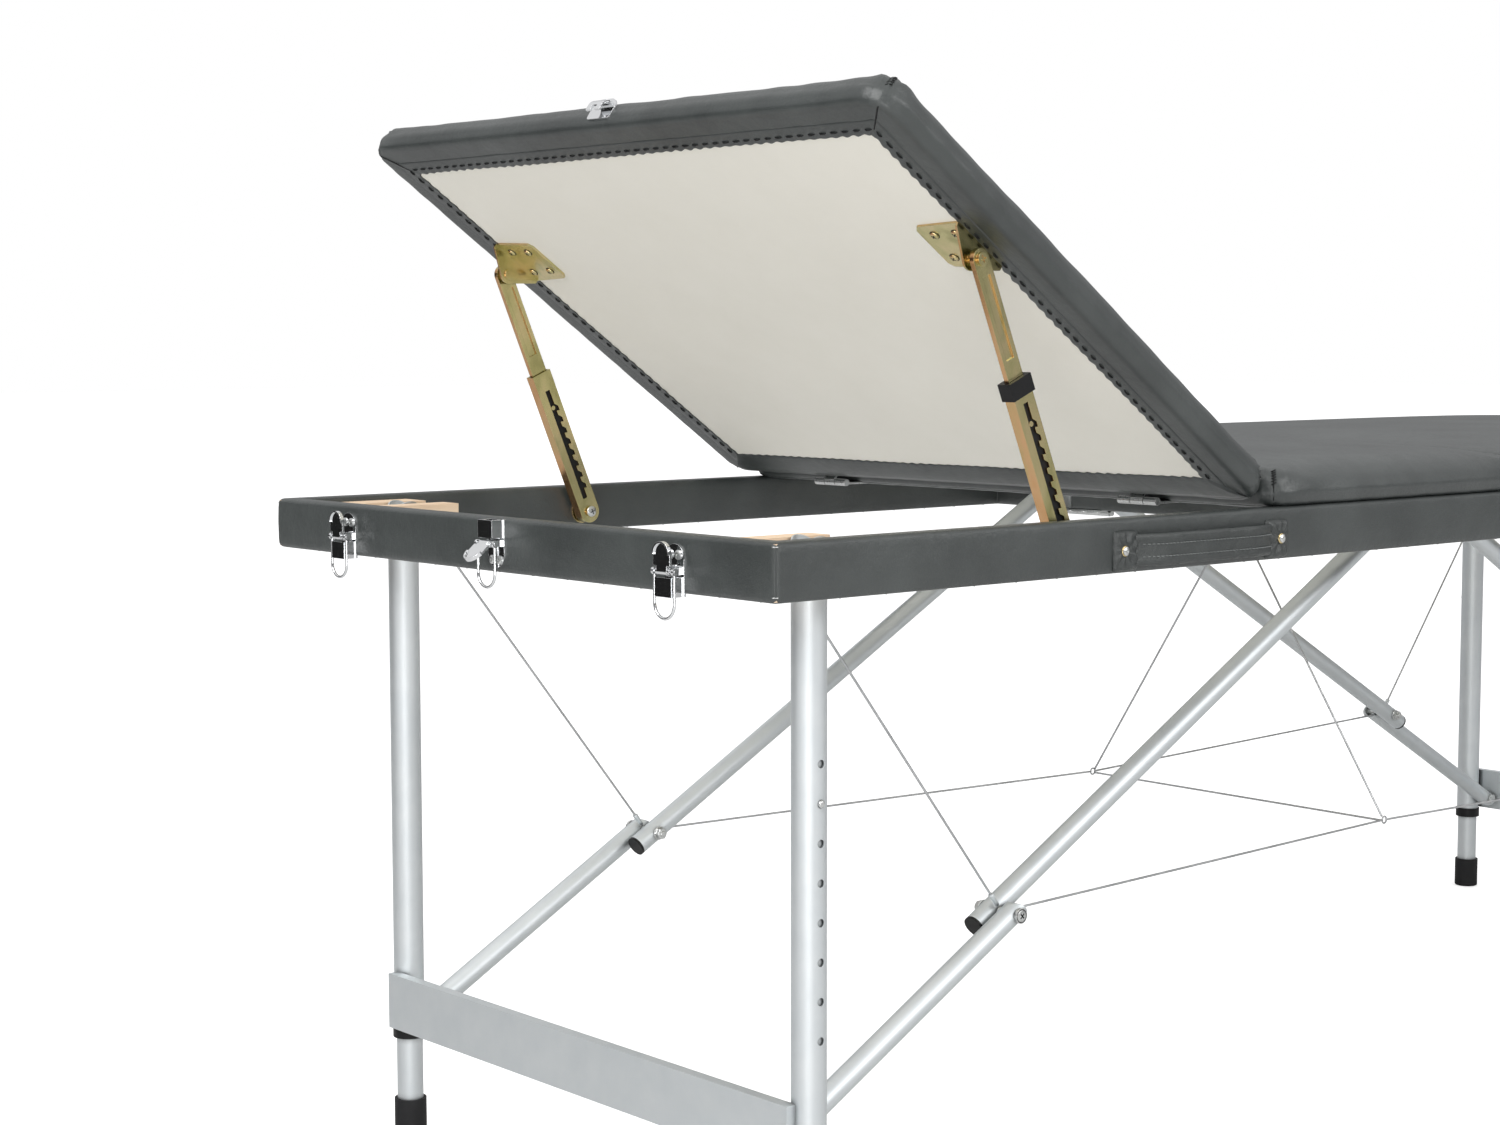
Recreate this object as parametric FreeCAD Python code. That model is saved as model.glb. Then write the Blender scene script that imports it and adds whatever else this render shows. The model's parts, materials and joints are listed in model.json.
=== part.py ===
import FreeCAD, Part
import math
import os
from FreeCAD import Vector

# Portable folding massage table: two hinged timber half frames on telescopic aluminium legs,
# with padded tops, a lifting backrest on two ratchet struts, folding braces and stay cables.
# Millimetres. Origin on the floor under the middle of the table. +X runs from the backrest end
# (the head half, x < 0) to the plain end (the foot half, x > 0), +Y across, +Z up.

# ---------------------------------------------------------------- driving dimensions
HALF_LENGTH = 930.0        # one half frame, end face to the middle of the table
WIDTH = 680.0
FRAME_TOP = 590.0          # upper face of the rails above the floor
RAIL_HEIGHT = 44.0
RAIL_THICKNESS = 17.2      # timber and its leather together
LEATHER = 1.3
MIDDLE_GAP = 0.2           # each half stops this far from the middle plane
PAD_THICKNESS = 40.0
PAD_ROUND = 18.0
PAD_CORNER = 24.0
BOARD_MARGIN = 34.0        # leather turned under the pad round its board
BOARD_THICKNESS = 5.0

LEG_INSET_X = 90.8         # leg axis from the end face
LEG_INSET_Y = 65.2         # leg axis from the side face
LEG_PIVOT_DROP = 18.0      # leg pivot below the rails' upper face
LEG_RADIUS = 13.75
LEG_WALL = 1.5
LEG_BOTTOM = 101.0         # lower end of the outer tube
INNER_GAP = 0.3
HOLE_PITCH = 30.2
HOLE_COUNT = 8
HOLE_RADIUS = 3.2
HOLE_TOP = 416.2
BUTTON_HEIGHT = HOLE_TOP - HOLE_PITCH
CROSSBAR_TOP = 155.6
CROSSBAR_HEIGHT = 50.0
CROSSBAR_THICKNESS = 10.0

BRACE_RADIUS = 9.5
BRACE_WALL = 1.5
LOWER_BRACE_Y = 248.5
UPPER_BRACE_Y = 226.0
LOWER_PIVOT_DROP = 451.0   # brace pivot on the leg below the leg pivot
UPPER_PIVOT_X = 30.0       # upper brace pivot from the middle of the table
UPPER_OVERRUN = 22.0       # upper brace past its knee
BOLT_RADIUS = 4.0
RUNNING_FIT = 0.05

HINGE_X = -382.0           # backrest hinge line
BACKREST_REST_ANGLE = 35.0
BACKREST_LIFT = 0.4        # flat backrest above the rails
STRUT_FOOT_X = -602.0
STRUT_FOOT_Z = 565.0
STRUT_Y = 313.0
STRUT_BOLT_RADIUS = 3.0
STRUT_BOLT_DEPTH = 9.0     # into the rail
STRUT_HEAD_ALONG = 376.1   # strut's upper pivot from the hinge line, along the backrest
STRUT_HEAD_BELOW = 15.5    # and below the backrest's underside
CHANNEL_LENGTH = 146.0
ROD_LENGTH = 143.0

CENTRE_HINGE_Z = 542.5
CENTRE_HINGE_RADIUS = 3.5
CABLE_RADIUS = 1.25
CABLE_Y = 237.3
CABLE_JUNCTION = (0.0, 192.0, 257.0)
CABLE_TOP = 549.0
CABLE_TOP_SETBACK = 16.2
KNEE_EYE = 6.0

LATCH_Y = (218.0, -3.0, -230.0)
HANDLE_X = (355.0, 575.0)  # from the end face

# ---------------------------------------------------------------- worked out
SIDE = WIDTH / 2
FRAME_BOTTOM = FRAME_TOP - RAIL_HEIGHT
INNER_SIDE = SIDE - RAIL_THICKNESS
INNER_END = HALF_LENGTH - RAIL_THICKNESS
PAD_TOP = FRAME_TOP + PAD_THICKNESS
LEG_X = -(HALF_LENGTH - LEG_INSET_X)
LEG_Y = SIDE - LEG_INSET_Y
LEG_PIVOT_Z = FRAME_TOP - LEG_PIVOT_DROP
LOWER_PIVOT_Z = LEG_PIVOT_Z - LOWER_PIVOT_DROP

UPPER_PIVOT = Vector(-UPPER_PIVOT_X, 0, LEG_PIVOT_Z)
LOWER_PIVOT = Vector(LEG_X, 0, LOWER_PIVOT_Z)
BRACE_LINE = UPPER_PIVOT - LOWER_PIVOT
FOLDED_SPAN = (-UPPER_PIVOT_X - LEG_X) - LOWER_PIVOT_DROP
LOWER_BRACE_LENGTH = (BRACE_LINE.Length - FOLDED_SPAN) / 2
BRACE_DIRECTION = Vector(BRACE_LINE).normalize()
KNEE = LOWER_PIVOT + BRACE_DIRECTION * LOWER_BRACE_LENGTH

X_AXIS, Y_AXIS, Z_AXIS = Vector(1, 0, 0), Vector(0, 1, 0), Vector(0, 0, 1)
HINGE_POINT = Vector(HINGE_X, 0, FRAME_TOP)


# ---------------------------------------------------------------- helpers
def box(x0, x1, y0, y1, z0, z1):
    return Part.makeBox(x1 - x0, y1 - y0, z1 - z0, Vector(x0, y0, z0))


def cylinder(x, y, z, axis, radius, length):
    return Part.makeCylinder(radius, length, Vector(x, y, z), axis)


def bar(start, end, radius):
    run = end - start
    return Part.makeCylinder(radius, run.Length, start, run)


def across(x, z, y0, y1, radius):
    """A round bar along Y."""
    return cylinder(x, y0, z, Y_AXIS, radius, y1 - y0)


def group(shapes):
    return Part.makeCompound([s for shape in shapes for s in shape.Solids])


def flip_y(shape):
    return shape.mirror(Vector(0, 0, 0), Y_AXIS)


def flip_x(shape):
    return shape.mirror(Vector(0, 0, 0), X_AXIS)


def both_sides(shape):
    return group([shape, flip_y(shape)])


def minus(shape, cutters):
    return group([solid.cut(Part.makeCompound(cutters)) for solid in shape.Solids])


def outline(points, place):
    """A flat face through points, each (a, b) set in space by place(a, b)."""
    ring = [place(a, b) for a, b in points]
    return Part.Face(Part.makePolygon(ring + [ring[0]]))


def lift_backrest(shape):
    turned = shape.copy()
    turned.rotate(HINGE_POINT, Y_AXIS, BACKREST_REST_ANGLE)
    return turned


def screw(point, direction, head=3.6, shank=1.6, length=9.0):
    """A domed wood screw: point is under its head, direction is the way it drives in."""
    outward = Vector(direction) * -1
    dome = Part.makeCylinder(head, 1.0, point, outward)
    cap = Part.makeCone(head, head * 0.55, 0.9, point + outward, outward)
    slot_depth = 0.7
    top = point + outward * (1.9 - slot_depth)
    driver = Part.makeCylinder(1.1, 2.0, top, outward)
    body = Part.makeCylinder(shank, length, point, Vector(direction))
    return dome.fuse([cap, body]).cut(driver).removeSplitter()


def shank_hole(point, direction, shank=1.6, length=9.0):
    return Part.makeCylinder(shank, length, point, Vector(direction))


# ---------------------------------------------------------------- half frame (drawn at x < 0)
LEAF_Y = (-200.0, 200.0)
LEAF_THICKNESS = 2.0
LEAF_REACH = 58.0


def bracket_screw_places():
    """Screws that hold the upper brace brackets to the middle rail."""
    plate_face = -(RAIL_THICKNESS + MIDDLE_GAP) - 2.0
    return [
        (Vector(plate_face, side * UPPER_BRACE_Y, z), X_AXIS)
        for side in (-1, 1)
        for z in (551.5, 558.0)
    ]


def centre_leaf_screw_places():
    return [
        (Vector(-10.0, y + dy, FRAME_BOTTOM - 2.0), Z_AXIS)
        for y in LEAF_Y
        for dy in (-20.0, 0.0, 20.0)
    ]


def handle_screw_places():
    inset = 11.0
    return [
        (Vector(-HALF_LENGTH + x, -SIDE - 5.0, 564.0), Y_AXIS)
        for x in (HANDLE_X[0] + inset, HANDLE_X[1] - inset)
    ]


def strut_bolt_holes():
    """Room in the side rails for the bolts on which the struts turn."""
    hole = across(STRUT_FOOT_X, STRUT_FOOT_Z, INNER_SIDE - 5.0, INNER_SIDE + STRUT_BOLT_DEPTH, STRUT_BOLT_RADIUS)
    return both_sides(hole).Solids


def latch_screw_places():
    return [
        (Vector(-HALF_LENGTH - 2.0, y + dy, z), X_AXIS)
        for y, z in zip(LATCH_Y, (575.0, 556.5, 575.0))
        for dy in (-5.0, 5.0)
    ]


def seat_leaf_screw_places():
    return [
        (Vector(x, y + dy, FRAME_TOP - 2.0), Z_AXIS)
        for y in LEAF_Y
        for x, dy in ((-328.0, -14.0), (-328.0, 14.0))
    ]


def screws(places):
    return [screw(point, direction) for point, direction in places]


def screw_holes(places):
    return [shank_hole(point, direction) for point, direction in places]


def wood_frame():
    """Side rails, end rail and middle rail, with two cheeks round each leg's upper end."""
    x0, x1 = -HALF_LENGTH + LEATHER, -MIDDLE_GAP - LEATHER
    y1 = SIDE - LEATHER
    wood = RAIL_THICKNESS - 2 * LEATHER
    z0, z1 = FRAME_BOTTOM + LEATHER, FRAME_TOP - LEATHER
    side_rail = box(x0, x1, y1 - wood, y1, z0, z1)
    end_rail = box(x0, x0 + wood, -(y1 - wood), y1 - wood, z0, z1)
    middle_rail = box(x1 - wood, x1, -(y1 - wood), y1 - wood, z0, z1)
    cheek_x0, cheek_x1 = -INNER_END, -HALF_LENGTH + 125.0
    cheek_z0, cheek_z1 = 550.0, 585.0
    outer = box(cheek_x0, cheek_x1, LEG_Y + LEG_RADIUS + 0.5, INNER_SIDE, cheek_z0, cheek_z1)
    inner = box(cheek_x0, cheek_x1, 236.0, LEG_Y - LEG_RADIUS - 0.45, cheek_z0, cheek_z1)
    bore = across(LEG_X, LEG_PIVOT_Z, 230.0, 304.0, BOLT_RADIUS)
    cheeks = [cheek.cut(bore) for cheek in (outer, inner)]
    return group([both_sides(side_rail), end_rail, middle_rail] + [both_sides(c) for c in cheeks])


def frame_cover():
    """Leather wrapped round the four rails, its two edges meeting under them."""
    x0, x1 = -HALF_LENGTH, -MIDDLE_GAP
    ring = box(x0, x1, -SIDE, SIDE, FRAME_BOTTOM, FRAME_TOP)
    upright = [e for e in ring.Edges if abs(e.tangentAt(e.FirstParameter).z) > 0.9]
    ring = ring.makeFillet(3.0, upright)
    well = box(-INNER_END, x1 - RAIL_THICKNESS, -INNER_SIDE, INNER_SIDE, 500, 600)
    wood = [s for s in wood_frame().Solids if s.BoundBox.ZMax > FRAME_TOP - 2]
    middle = RAIL_THICKNESS / 2
    seam_outer = box(x0 + middle - 3, x1 - middle + 3, -SIDE + middle - 3, SIDE - middle + 3, 540, 548)
    seam_inner = box(x0 + middle + 3, x1 - middle - 3, -SIDE + middle + 3, SIDE - middle - 3, 530, 550)
    seam = seam_outer.cut(seam_inner)
    return group([ring.cut(well).cut(Part.makeCompound(wood)).cut(seam)])


def brace_brackets():
    """A folded steel bracket for each upper brace, on the middle rail."""
    face = -(RAIL_THICKNESS + MIDDLE_GAP)
    y = UPPER_BRACE_Y
    plate = box(face - 2, face, y - 15, y + 15, 547.5, 585)
    ear = box(-UPPER_PIVOT_X, face - 2, y - 12.3, y - 10.3, LEG_PIVOT_Z - 9, LEG_PIVOT_Z + 9)
    ear = ear.fuse(across(-UPPER_PIVOT_X, LEG_PIVOT_Z, y - 12.3, y - 10.3, 9)).removeSplitter()
    ears = [ear, ear.translated(Vector(0, 22.6, 0))]
    bore = across(-UPPER_PIVOT_X, LEG_PIVOT_Z, y - 20, y + 20, BOLT_RADIUS)
    bracket = plate.fuse(ears).removeSplitter().cut(bore)
    return both_sides(bracket)


def hex_head(x, z, y0, y1, across_flats):
    radius = across_flats / math.sqrt(3)
    corners = [
        (radius * math.cos(math.radians(60 * k)), radius * math.sin(math.radians(60 * k)))
        for k in range(6)
    ]
    face = outline(corners, lambda a, b: Vector(x + a, y0, z + b))
    return face.extrude(Vector(0, y1 - y0, 0))


def pivot_bolts():
    """Leg bolts through their cheeks, and brace bolts through their brackets."""
    leg_bolt = across(LEG_X, LEG_PIVOT_Z, 232.0, 300.0, BOLT_RADIUS)
    leg_bolt = leg_bolt.fuse(hex_head(LEG_X, LEG_PIVOT_Z, 230.0, 236.0, 12)).removeSplitter()
    y = UPPER_BRACE_Y
    brace_bolt = across(-UPPER_PIVOT_X, LEG_PIVOT_Z, y - 16, y + 16.5, BOLT_RADIUS)
    heads = [
        hex_head(-UPPER_PIVOT_X, LEG_PIVOT_Z, y - 16.3, y - 12.3, 11),
        hex_head(-UPPER_PIVOT_X, LEG_PIVOT_Z, y + 12.3, y + 16.3, 11),
    ]
    brace_bolt = brace_bolt.fuse(heads).removeSplitter()
    return group([both_sides(leg_bolt), both_sides(brace_bolt)])


def centre_leaves():
    """Hinge leaves under the middle rail, with two knuckles each."""
    leaves = []
    for y in LEAF_Y:
        leaf = box(-16.0, -CENTRE_HINGE_RADIUS - 0.5, y - 30, y + 30, FRAME_BOTTOM - 2, FRAME_BOTTOM)
        knuckles = []
        for start in (y - 30, y):
            knuckle = across(0, CENTRE_HINGE_Z, start + 0.3, start + 14.7, CENTRE_HINGE_RADIUS)
            arm = box(-5.0, 0, start + 0.3, start + 14.7, FRAME_BOTTOM - 2, FRAME_BOTTOM - 0.3)
            knuckles += [knuckle, arm]
        leaf = leaf.fuse(knuckles).removeSplitter()
        leaf = leaf.cut(across(0, CENTRE_HINGE_Z, y - 40, y + 40, 2 + RUNNING_FIT))
        leaves.append(leaf)
    return group(leaves)


def centre_pins():
    pins = []
    for y in LEAF_Y:
        pin = across(0, CENTRE_HINGE_Z, y - 31.5, y + 31.5, 2.0)
        heads = [
            across(0, CENTRE_HINGE_Z, y - 32.7, y - 31.2, 3.0),
            across(0, CENTRE_HINGE_Z, y + 31.2, y + 32.7, 3.0),
        ]
        pins.append(pin.fuse(heads).removeSplitter())
    return group(pins)


def handle():
    """A leather strap handle on the near side rail, held by one screw at each end."""
    x0, x1 = -HALF_LENGTH + HANDLE_X[0], -HALF_LENGTH + HANDLE_X[1]
    tab = 29.0
    wall = -SIDE
    tabs = [
        box(x0, x0 + tab, wall - 5, wall, 547.5, 580.5),
        box(x1 - tab, x1, wall - 5, wall, 547.5, 580.5),
    ]
    rise, thick = 9.0, 4.5
    start, end = x0 + tab - 4, x1 - tab + 4
    middle = (start + end) / 2
    inner = [
        Vector(start, wall - 0.5, 0),
        Vector(start + 24, wall - rise, 0),
        Vector(end - 24, wall - rise, 0),
        Vector(end, wall - 0.5, 0),
    ]
    outer = [
        Vector(end, wall - 0.5 - thick, 0),
        Vector(end - 24, wall - rise - thick, 0),
        Vector(middle, wall - rise - thick - 1.0, 0),
        Vector(start + 24, wall - rise - thick, 0),
        Vector(start, wall - 0.5 - thick, 0),
    ]
    ring = inner + outer
    strap = Part.Face(Part.makePolygon(ring + [ring[0]])).extrude(Vector(0, 0, 26.0))
    strap.translate(Vector(0, 0, 551.0))
    return group([strap.fuse(tabs).removeSplitter()])


# ---------------------------------------------------------------- pads
def pad(x0, x1, z0, z1):
    """A cushion with rounded sides, with room for its board in the underside."""
    block = box(x0, x1, -SIDE, SIDE, z0, z1)
    upright = [e for e in block.Edges if abs(e.tangentAt(e.FirstParameter).z) > 0.9]
    block = block.makeFillet(PAD_CORNER, upright)
    rims = [
        e
        for e in block.Edges
        if abs(e.CenterOfMass.z - z0) < 0.01 or abs(e.CenterOfMass.z - z1) < 0.01
    ]
    block = block.makeFillet(PAD_ROUND, rims)
    return group([block.cut(board(x0, x1, z0))])


def board(x0, x1, z0):
    margin = BOARD_MARGIN
    return box(x0 + margin, x1 - margin, -SIDE + margin, SIDE - margin, z0, z0 + BOARD_THICKNESS)


SEAT_X = (HINGE_X + 12.0, -MIDDLE_GAP)
BACKREST_X = (-HALF_LENGTH, HINGE_X - 6.0)
BACKREST_Z = (FRAME_TOP + BACKREST_LIFT, PAD_TOP)


# ---------------------------------------------------------------- backrest hinge and struts
def seat_leaves():
    """Leaves under the seat board, two knuckles and the pin in each."""
    leaves = []
    for y in LEAF_Y:
        leaf = box(HINGE_X + 3.0, -318.0, y - 22, y + 22, FRAME_TOP - 2, FRAME_TOP)
        parts = [across(HINGE_X, FRAME_TOP, y - 22, y + 22, 1.5)]
        for start in (y - 22, y + 8):
            parts.append(across(HINGE_X, FRAME_TOP, start, start + 14, 3.5))
        leaves.append(leaf.fuse(parts).removeSplitter())
    middle_room = [across(HINGE_X, FRAME_TOP, y - 7.7, y + 7.7, 5.0) for y in LEAF_Y]
    pins = [across(HINGE_X, FRAME_TOP, y - 10, y + 10, 1.5) for y in LEAF_Y]
    return group([s.cut(Part.makeCompound(middle_room)).fuse(p) for s, p in zip(leaves, pins)])


def backrest_leaves():
    """Leaves over the backrest board, inside the cushion, one knuckle each, drawn with the backrest flat."""
    leaves = []
    edge = BACKREST_X[1]
    z0 = BACKREST_Z[0] + BOARD_THICKNESS
    z1 = z0 + LEAF_THICKNESS
    for y in LEAF_Y:
        leaf = box(edge - LEAF_REACH, edge - 1.0, y - 22, y + 22, z0, z1)
        neck = box(edge - 1.0, edge + 3.5, y - 7.2, y + 7.2, z0, z1)
        drop = box(edge + 1.5, edge + 3.5, y - 7.2, y + 7.2, FRAME_TOP, z1)
        knuckle = across(HINGE_X, FRAME_TOP, y - 7.2, y + 7.2, 3.5)
        whole = leaf.fuse([neck, drop, knuckle]).removeSplitter()
        leaves.append(whole.cut(across(HINGE_X, FRAME_TOP, y - 9, y + 9, 1.5 + RUNNING_FIT)))
    return group(leaves)


STRUT_HEAD_FLAT = Vector(HINGE_X - STRUT_HEAD_ALONG, 0, FRAME_TOP - STRUT_HEAD_BELOW)
PLATE_X = (HINGE_X - 404.0, HINGE_X - 346.0)
BRACKET_SCREWS = ((-15.0, 268.0), (14.0, 266.0), (-16.0, 292.0), (15.0, 293.0))


def strut_brackets():
    """Folded brackets under the backrest board, drawn flat: a plate, an ear and half a rivet."""
    z1 = FRAME_TOP + BACKREST_LIFT
    z0 = z1 - 2
    x0, x1 = PLATE_X
    centre_x = (x0 + x1) / 2
    plate_outline = [(x0, 305), (x1, 305), (x1 - 3, 257), (x1 - 8, 253), (x0 + 8, 253), (x0 + 3, 257)]
    plate = outline(plate_outline, lambda a, b: Vector(a, b, z0)).extrude(Vector(0, 0, 2))
    px, pz = STRUT_HEAD_FLAT.x, STRUT_HEAD_FLAT.z
    ear_outline = [(x0, z1), (x1, z1), (x1, z1 - 5), (px + 6.5, pz - 6.2), (px - 6.5, pz - 6.2), (x0, z1 - 5)]
    ear = outline(ear_outline, lambda a, b: Vector(a, 303, b)).extrude(Vector(0, 2, 0))
    ear = ear.fuse(across(px, pz, 303, 305, 9.0))
    stub = across(px, pz, 301.5, 308.4, 5.0)
    bracket = plate.fuse([ear, stub]).removeSplitter()
    places = [(Vector(centre_x + dx, y, z0), Z_AXIS) for dx, y in BRACKET_SCREWS]
    bracket = bracket.cut(Part.makeCompound(screw_holes(places)))
    fixing = group([bracket] + screws(places))
    return both_sides(fixing), screw_holes(places)


STRUT_FOOT = Vector(STRUT_FOOT_X, 0, STRUT_FOOT_Z)


def strut_head_at_rest():
    point = Part.Vertex(STRUT_HEAD_FLAT)
    point.rotate(HINGE_POINT, Y_AXIS, BACKREST_REST_ANGLE)
    return point.Point


STRUT_HEAD = strut_head_at_rest()
STRUT_LENGTH = (STRUT_HEAD - STRUT_FOOT).Length
STRUT_LEAN = math.degrees(math.atan2(STRUT_HEAD.x - STRUT_FOOT.x, STRUT_HEAD.z - STRUT_FOOT.z))


def stand_strut(shape):
    """From the strut's own frame (foot pivot at the origin, strut up Z) to its place."""
    placed = shape.copy()
    placed.rotate(Vector(0, 0, 0), Y_AXIS, STRUT_LEAN)
    placed.translate(Vector(STRUT_FOOT.x, STRUT_Y, STRUT_FOOT.z))
    return placed


def toothed_slot(z0, z1, teeth):
    """A slot with ratchet notches along one side, cut through the channel's two faces."""
    half = 2.6
    slot = box(-half, half, -20, 20, z0, z1)
    pitch = (z1 - z0 - 20.0) / teeth
    notches = []
    for k in range(teeth):
        low = z0 + 10.0 + k * pitch
        notch = outline(
            [(half - 0.5, low), (half + 3.4, low - 1.0), (half + 3.4, low + 3.4), (half - 0.5, low + 7.5)],
            lambda a, b: Vector(a, -20, b),
        ).extrude(Vector(0, 40, 0))
        notches.append(notch)
    return slot.fuse(notches).removeSplitter()


def strut_channel():
    half, depth, wall = 11.0, 5.0, 1.5
    body = box(-half, half, -depth, depth, 0, CHANNEL_LENGTH)
    body = body.fuse(across(0, 0, -depth, depth, half)).removeSplitter()
    room = box(-half + wall, half - wall, -depth + wall, depth - wall, 9.5, CHANNEL_LENGTH + 10)
    pivot = across(0, 0, -20, 20, 3.0 + RUNNING_FIT)
    return body.cut(room).cut(toothed_slot(14.0, 128.0, 8)).cut(pivot)


def strut_rod():
    half, depth = 8.6, 2.2
    foot = STRUT_LENGTH - ROD_LENGTH
    body = box(-half, half, -depth, depth, foot, STRUT_LENGTH)
    body = body.fuse(across(0, STRUT_LENGTH, -depth, depth, half)).removeSplitter()
    groove_z = (foot + 60.0, STRUT_LENGTH - 14.0)
    for y0, y1 in ((-depth, -depth + 1.4), (depth - 1.4, depth)):
        body = body.cut(box(-4.4, 4.4, y0, y1, *groove_z))
    pin = across(0, foot + 5.2, -4.8, 4.8, 2.2)
    stub = across(0, STRUT_LENGTH, -4.1, -depth, 5.0)
    head = across(0, STRUT_LENGTH, depth, depth + 2.2, 5.4)
    drive = [box(-a, a, depth + 1.0, depth + 3.0, STRUT_LENGTH - b, STRUT_LENGTH + b) for a, b in ((3.2, 0.7), (0.7, 3.2))]
    return body.fuse([pin, stub, head.cut(drive[0]).cut(drive[1])]).removeSplitter()


def strut_guide():
    """The plastic collar at one channel's mouth that keeps its rod from rattling."""
    z0, z1 = CHANNEL_LENGTH - 12.0, CHANNEL_LENGTH + 1.0
    shell = box(-12.6, 12.6, -6.6, 6.6, z0, z1 + 1.5)
    room = box(-11.0, 11.0, -5.0, 5.0, z0 - 1, CHANNEL_LENGTH)
    way = box(-9.3, 9.3, -2.9, 2.9, z0, z1 + 5)
    return shell.cut(room).cut(way)


def strut_foot_brackets():
    """Round plates on the side rails, each with the bolt on which a strut turns."""
    x, z, y1 = STRUT_FOOT_X, STRUT_FOOT_Z, INNER_SIDE
    plate = across(x, z, y1 - 2, y1, 12.0)
    boss = across(x, z, STRUT_Y + 5.3, y1 - 1, 6.0)
    bolt = across(x, z, STRUT_Y - 6.4, y1 + STRUT_BOLT_DEPTH, STRUT_BOLT_RADIUS)
    head = across(x, z, STRUT_Y - 7.2, STRUT_Y - 5.3, 5.0)
    return both_sides(plate.fuse([boss, bolt, head]).removeSplitter())


def backrest_catch():
    """The strike plate and its curled two-pronged hook in the middle of the backrest's end, drawn flat."""
    x1 = -HALF_LENGTH
    y = LATCH_Y[1]
    face, bend = x1 - 1.8, 606.5
    plate = box(face, x1, y - 15, y + 15, 598, 618)
    corners = [e for e in plate.Edges if abs(e.tangentAt(e.FirstParameter).x) > 0.9]
    plate = plate.makeFillet(3.0, [e for e in corners if e.CenterOfMass.z < 600])
    corners = [e for e in plate.Edges if abs(e.tangentAt(e.FirstParameter).x) > 0.9 and e.CenterOfMass.z > 617]
    plate = plate.makeFillet(9.0, corners)
    angles = [math.radians(a) for a in range(90, 181, 15)]
    outer = [(face + 8.0 * math.cos(a), bend + 8.0 * math.sin(a)) for a in angles]
    inner = [(face + 6.2 * math.cos(a), bend + 6.2 * math.sin(a)) for a in reversed(angles)]
    curl = outer + [(face - 8.0, 601.0), (face - 6.2, 601.0)] + inner
    hook = outline(curl, lambda a, b: Vector(a, y - 9, b)).extrude(Vector(0, 18, 0))
    hook = hook.cut(box(face - 9, face - 5, y - 3, y + 3, 600, 606))
    return group([plate.fuse(hook).removeSplitter()])


# ---------------------------------------------------------------- latches
LATCH_PIVOT = (-HALF_LENGTH - 11.5, 563.0)
LATCH_MIDDLE_Z = 566.5
OPEN_LATCH_ANGLE = 50.0
THUMB_TOP = 575.5
KEEPER_DEPTH = 9.0


def latch_base(y):
    face = -HALF_LENGTH
    px, pz = LATCH_PIVOT
    plate = box(face - 2, face, y - 11, y + 11, 544, 572)
    plate = plate.fuse(cylinder(face - 2, y, 572, X_AXIS, 11, 2)).removeSplitter()
    housing = box(px - 1.5, face - 2, y - 9.75, y + 9.75, 544, 558.5)
    housing = housing.cut(box(px, face - 2, y - 8.0, y + 8.0, 543, 557))
    ears = []
    for y0 in (y - 8.2, y + 6.2):
        ear = box(px, face - 2, y0, y0 + 2, pz - 2.6, pz + 2.6)
        ears += [ear, across(px, pz, y0, y0 + 2, 2.6)]
    pin = across(px, pz, y - 13.2, y + 13.2, 1.5)
    return plate.fuse([housing] + ears + [pin]).removeSplitter()


def latch_lever(y):
    px, pz = LATCH_PIVOT
    knuckle = across(px, pz, y - 5.9, y + 5.9, 2.9)
    neck = box(px - 2.9, px - 0.9, y - 5.9, y + 5.9, pz, pz + 5)
    top = THUMB_TOP
    thumb = box(px - 2.9, px - 0.9, y - 9.75, y + 9.75, pz + 4.2, top)
    thumb = thumb.fuse(cylinder(px - 2.9, y, top, X_AXIS, 9.75, 2)).removeSplitter()
    lip = cylinder(px - 4.2, y, top, X_AXIS, 9.75, 1.4).cut(cylinder(px - 5, y, top, X_AXIS, 8.4, 3))
    lip = lip.common(box(px - 6, px, y - 12, y + 12, top, 600))
    lever = knuckle.fuse([neck, thumb, lip]).removeSplitter()
    return lever.cut(across(px, pz, y - 8, y + 8, 1.5 + RUNNING_FIT))


def latch_bail(y):
    """A wire loop that hangs from the pin's two ends."""
    px, pz = LATCH_PIVOT
    wire, reach, drop = 1.2, 11.6, 23.5
    parts = []
    for side in (-1, 1):
        top = Vector(px, y + side * reach, pz)
        parts.append(across(px, pz, top.y - 1.2, top.y + 1.2, 2.9))
        parts.append(bar(top, top - Vector(0, 0, drop), wire))
    bend = Part.makeTorus(reach, wire, Vector(px, y, pz - drop), X_AXIS)
    half = bend.common(box(px - 5, px + 5, y - 20, y + 20, pz - drop - 20, pz - drop))
    bail = parts[0].fuse(parts[1:] + [half]).removeSplitter()
    return bail.cut(across(px, pz, y - 20, y + 20, 1.5 + RUNNING_FIT))


def upside_down(shape):
    return shape.mirror(Vector(0, 0, LATCH_MIDDLE_Z), Z_AXIS)


def latches():
    """Three bases, levers and bails. The middle latch is upside down, with its lever open."""
    bases, levers, bails = [], [], []
    for number, y in enumerate(LATCH_Y):
        base, lever, bail = latch_base(y), latch_lever(y), latch_bail(y)
        if number == 1:
            base, lever = upside_down(base), upside_down(lever)
            pivot_z = 2 * LATCH_MIDDLE_Z - LATCH_PIVOT[1]
            lever.rotate(Vector(LATCH_PIVOT[0], y, pivot_z), Y_AXIS, OPEN_LATCH_ANGLE)
            bail.translate(Vector(0, 0, pivot_z - LATCH_PIVOT[1]))
        bases.append(base)
        levers.append(lever)
        bails.append(bail)
    return group(bases), levers, bails


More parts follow.
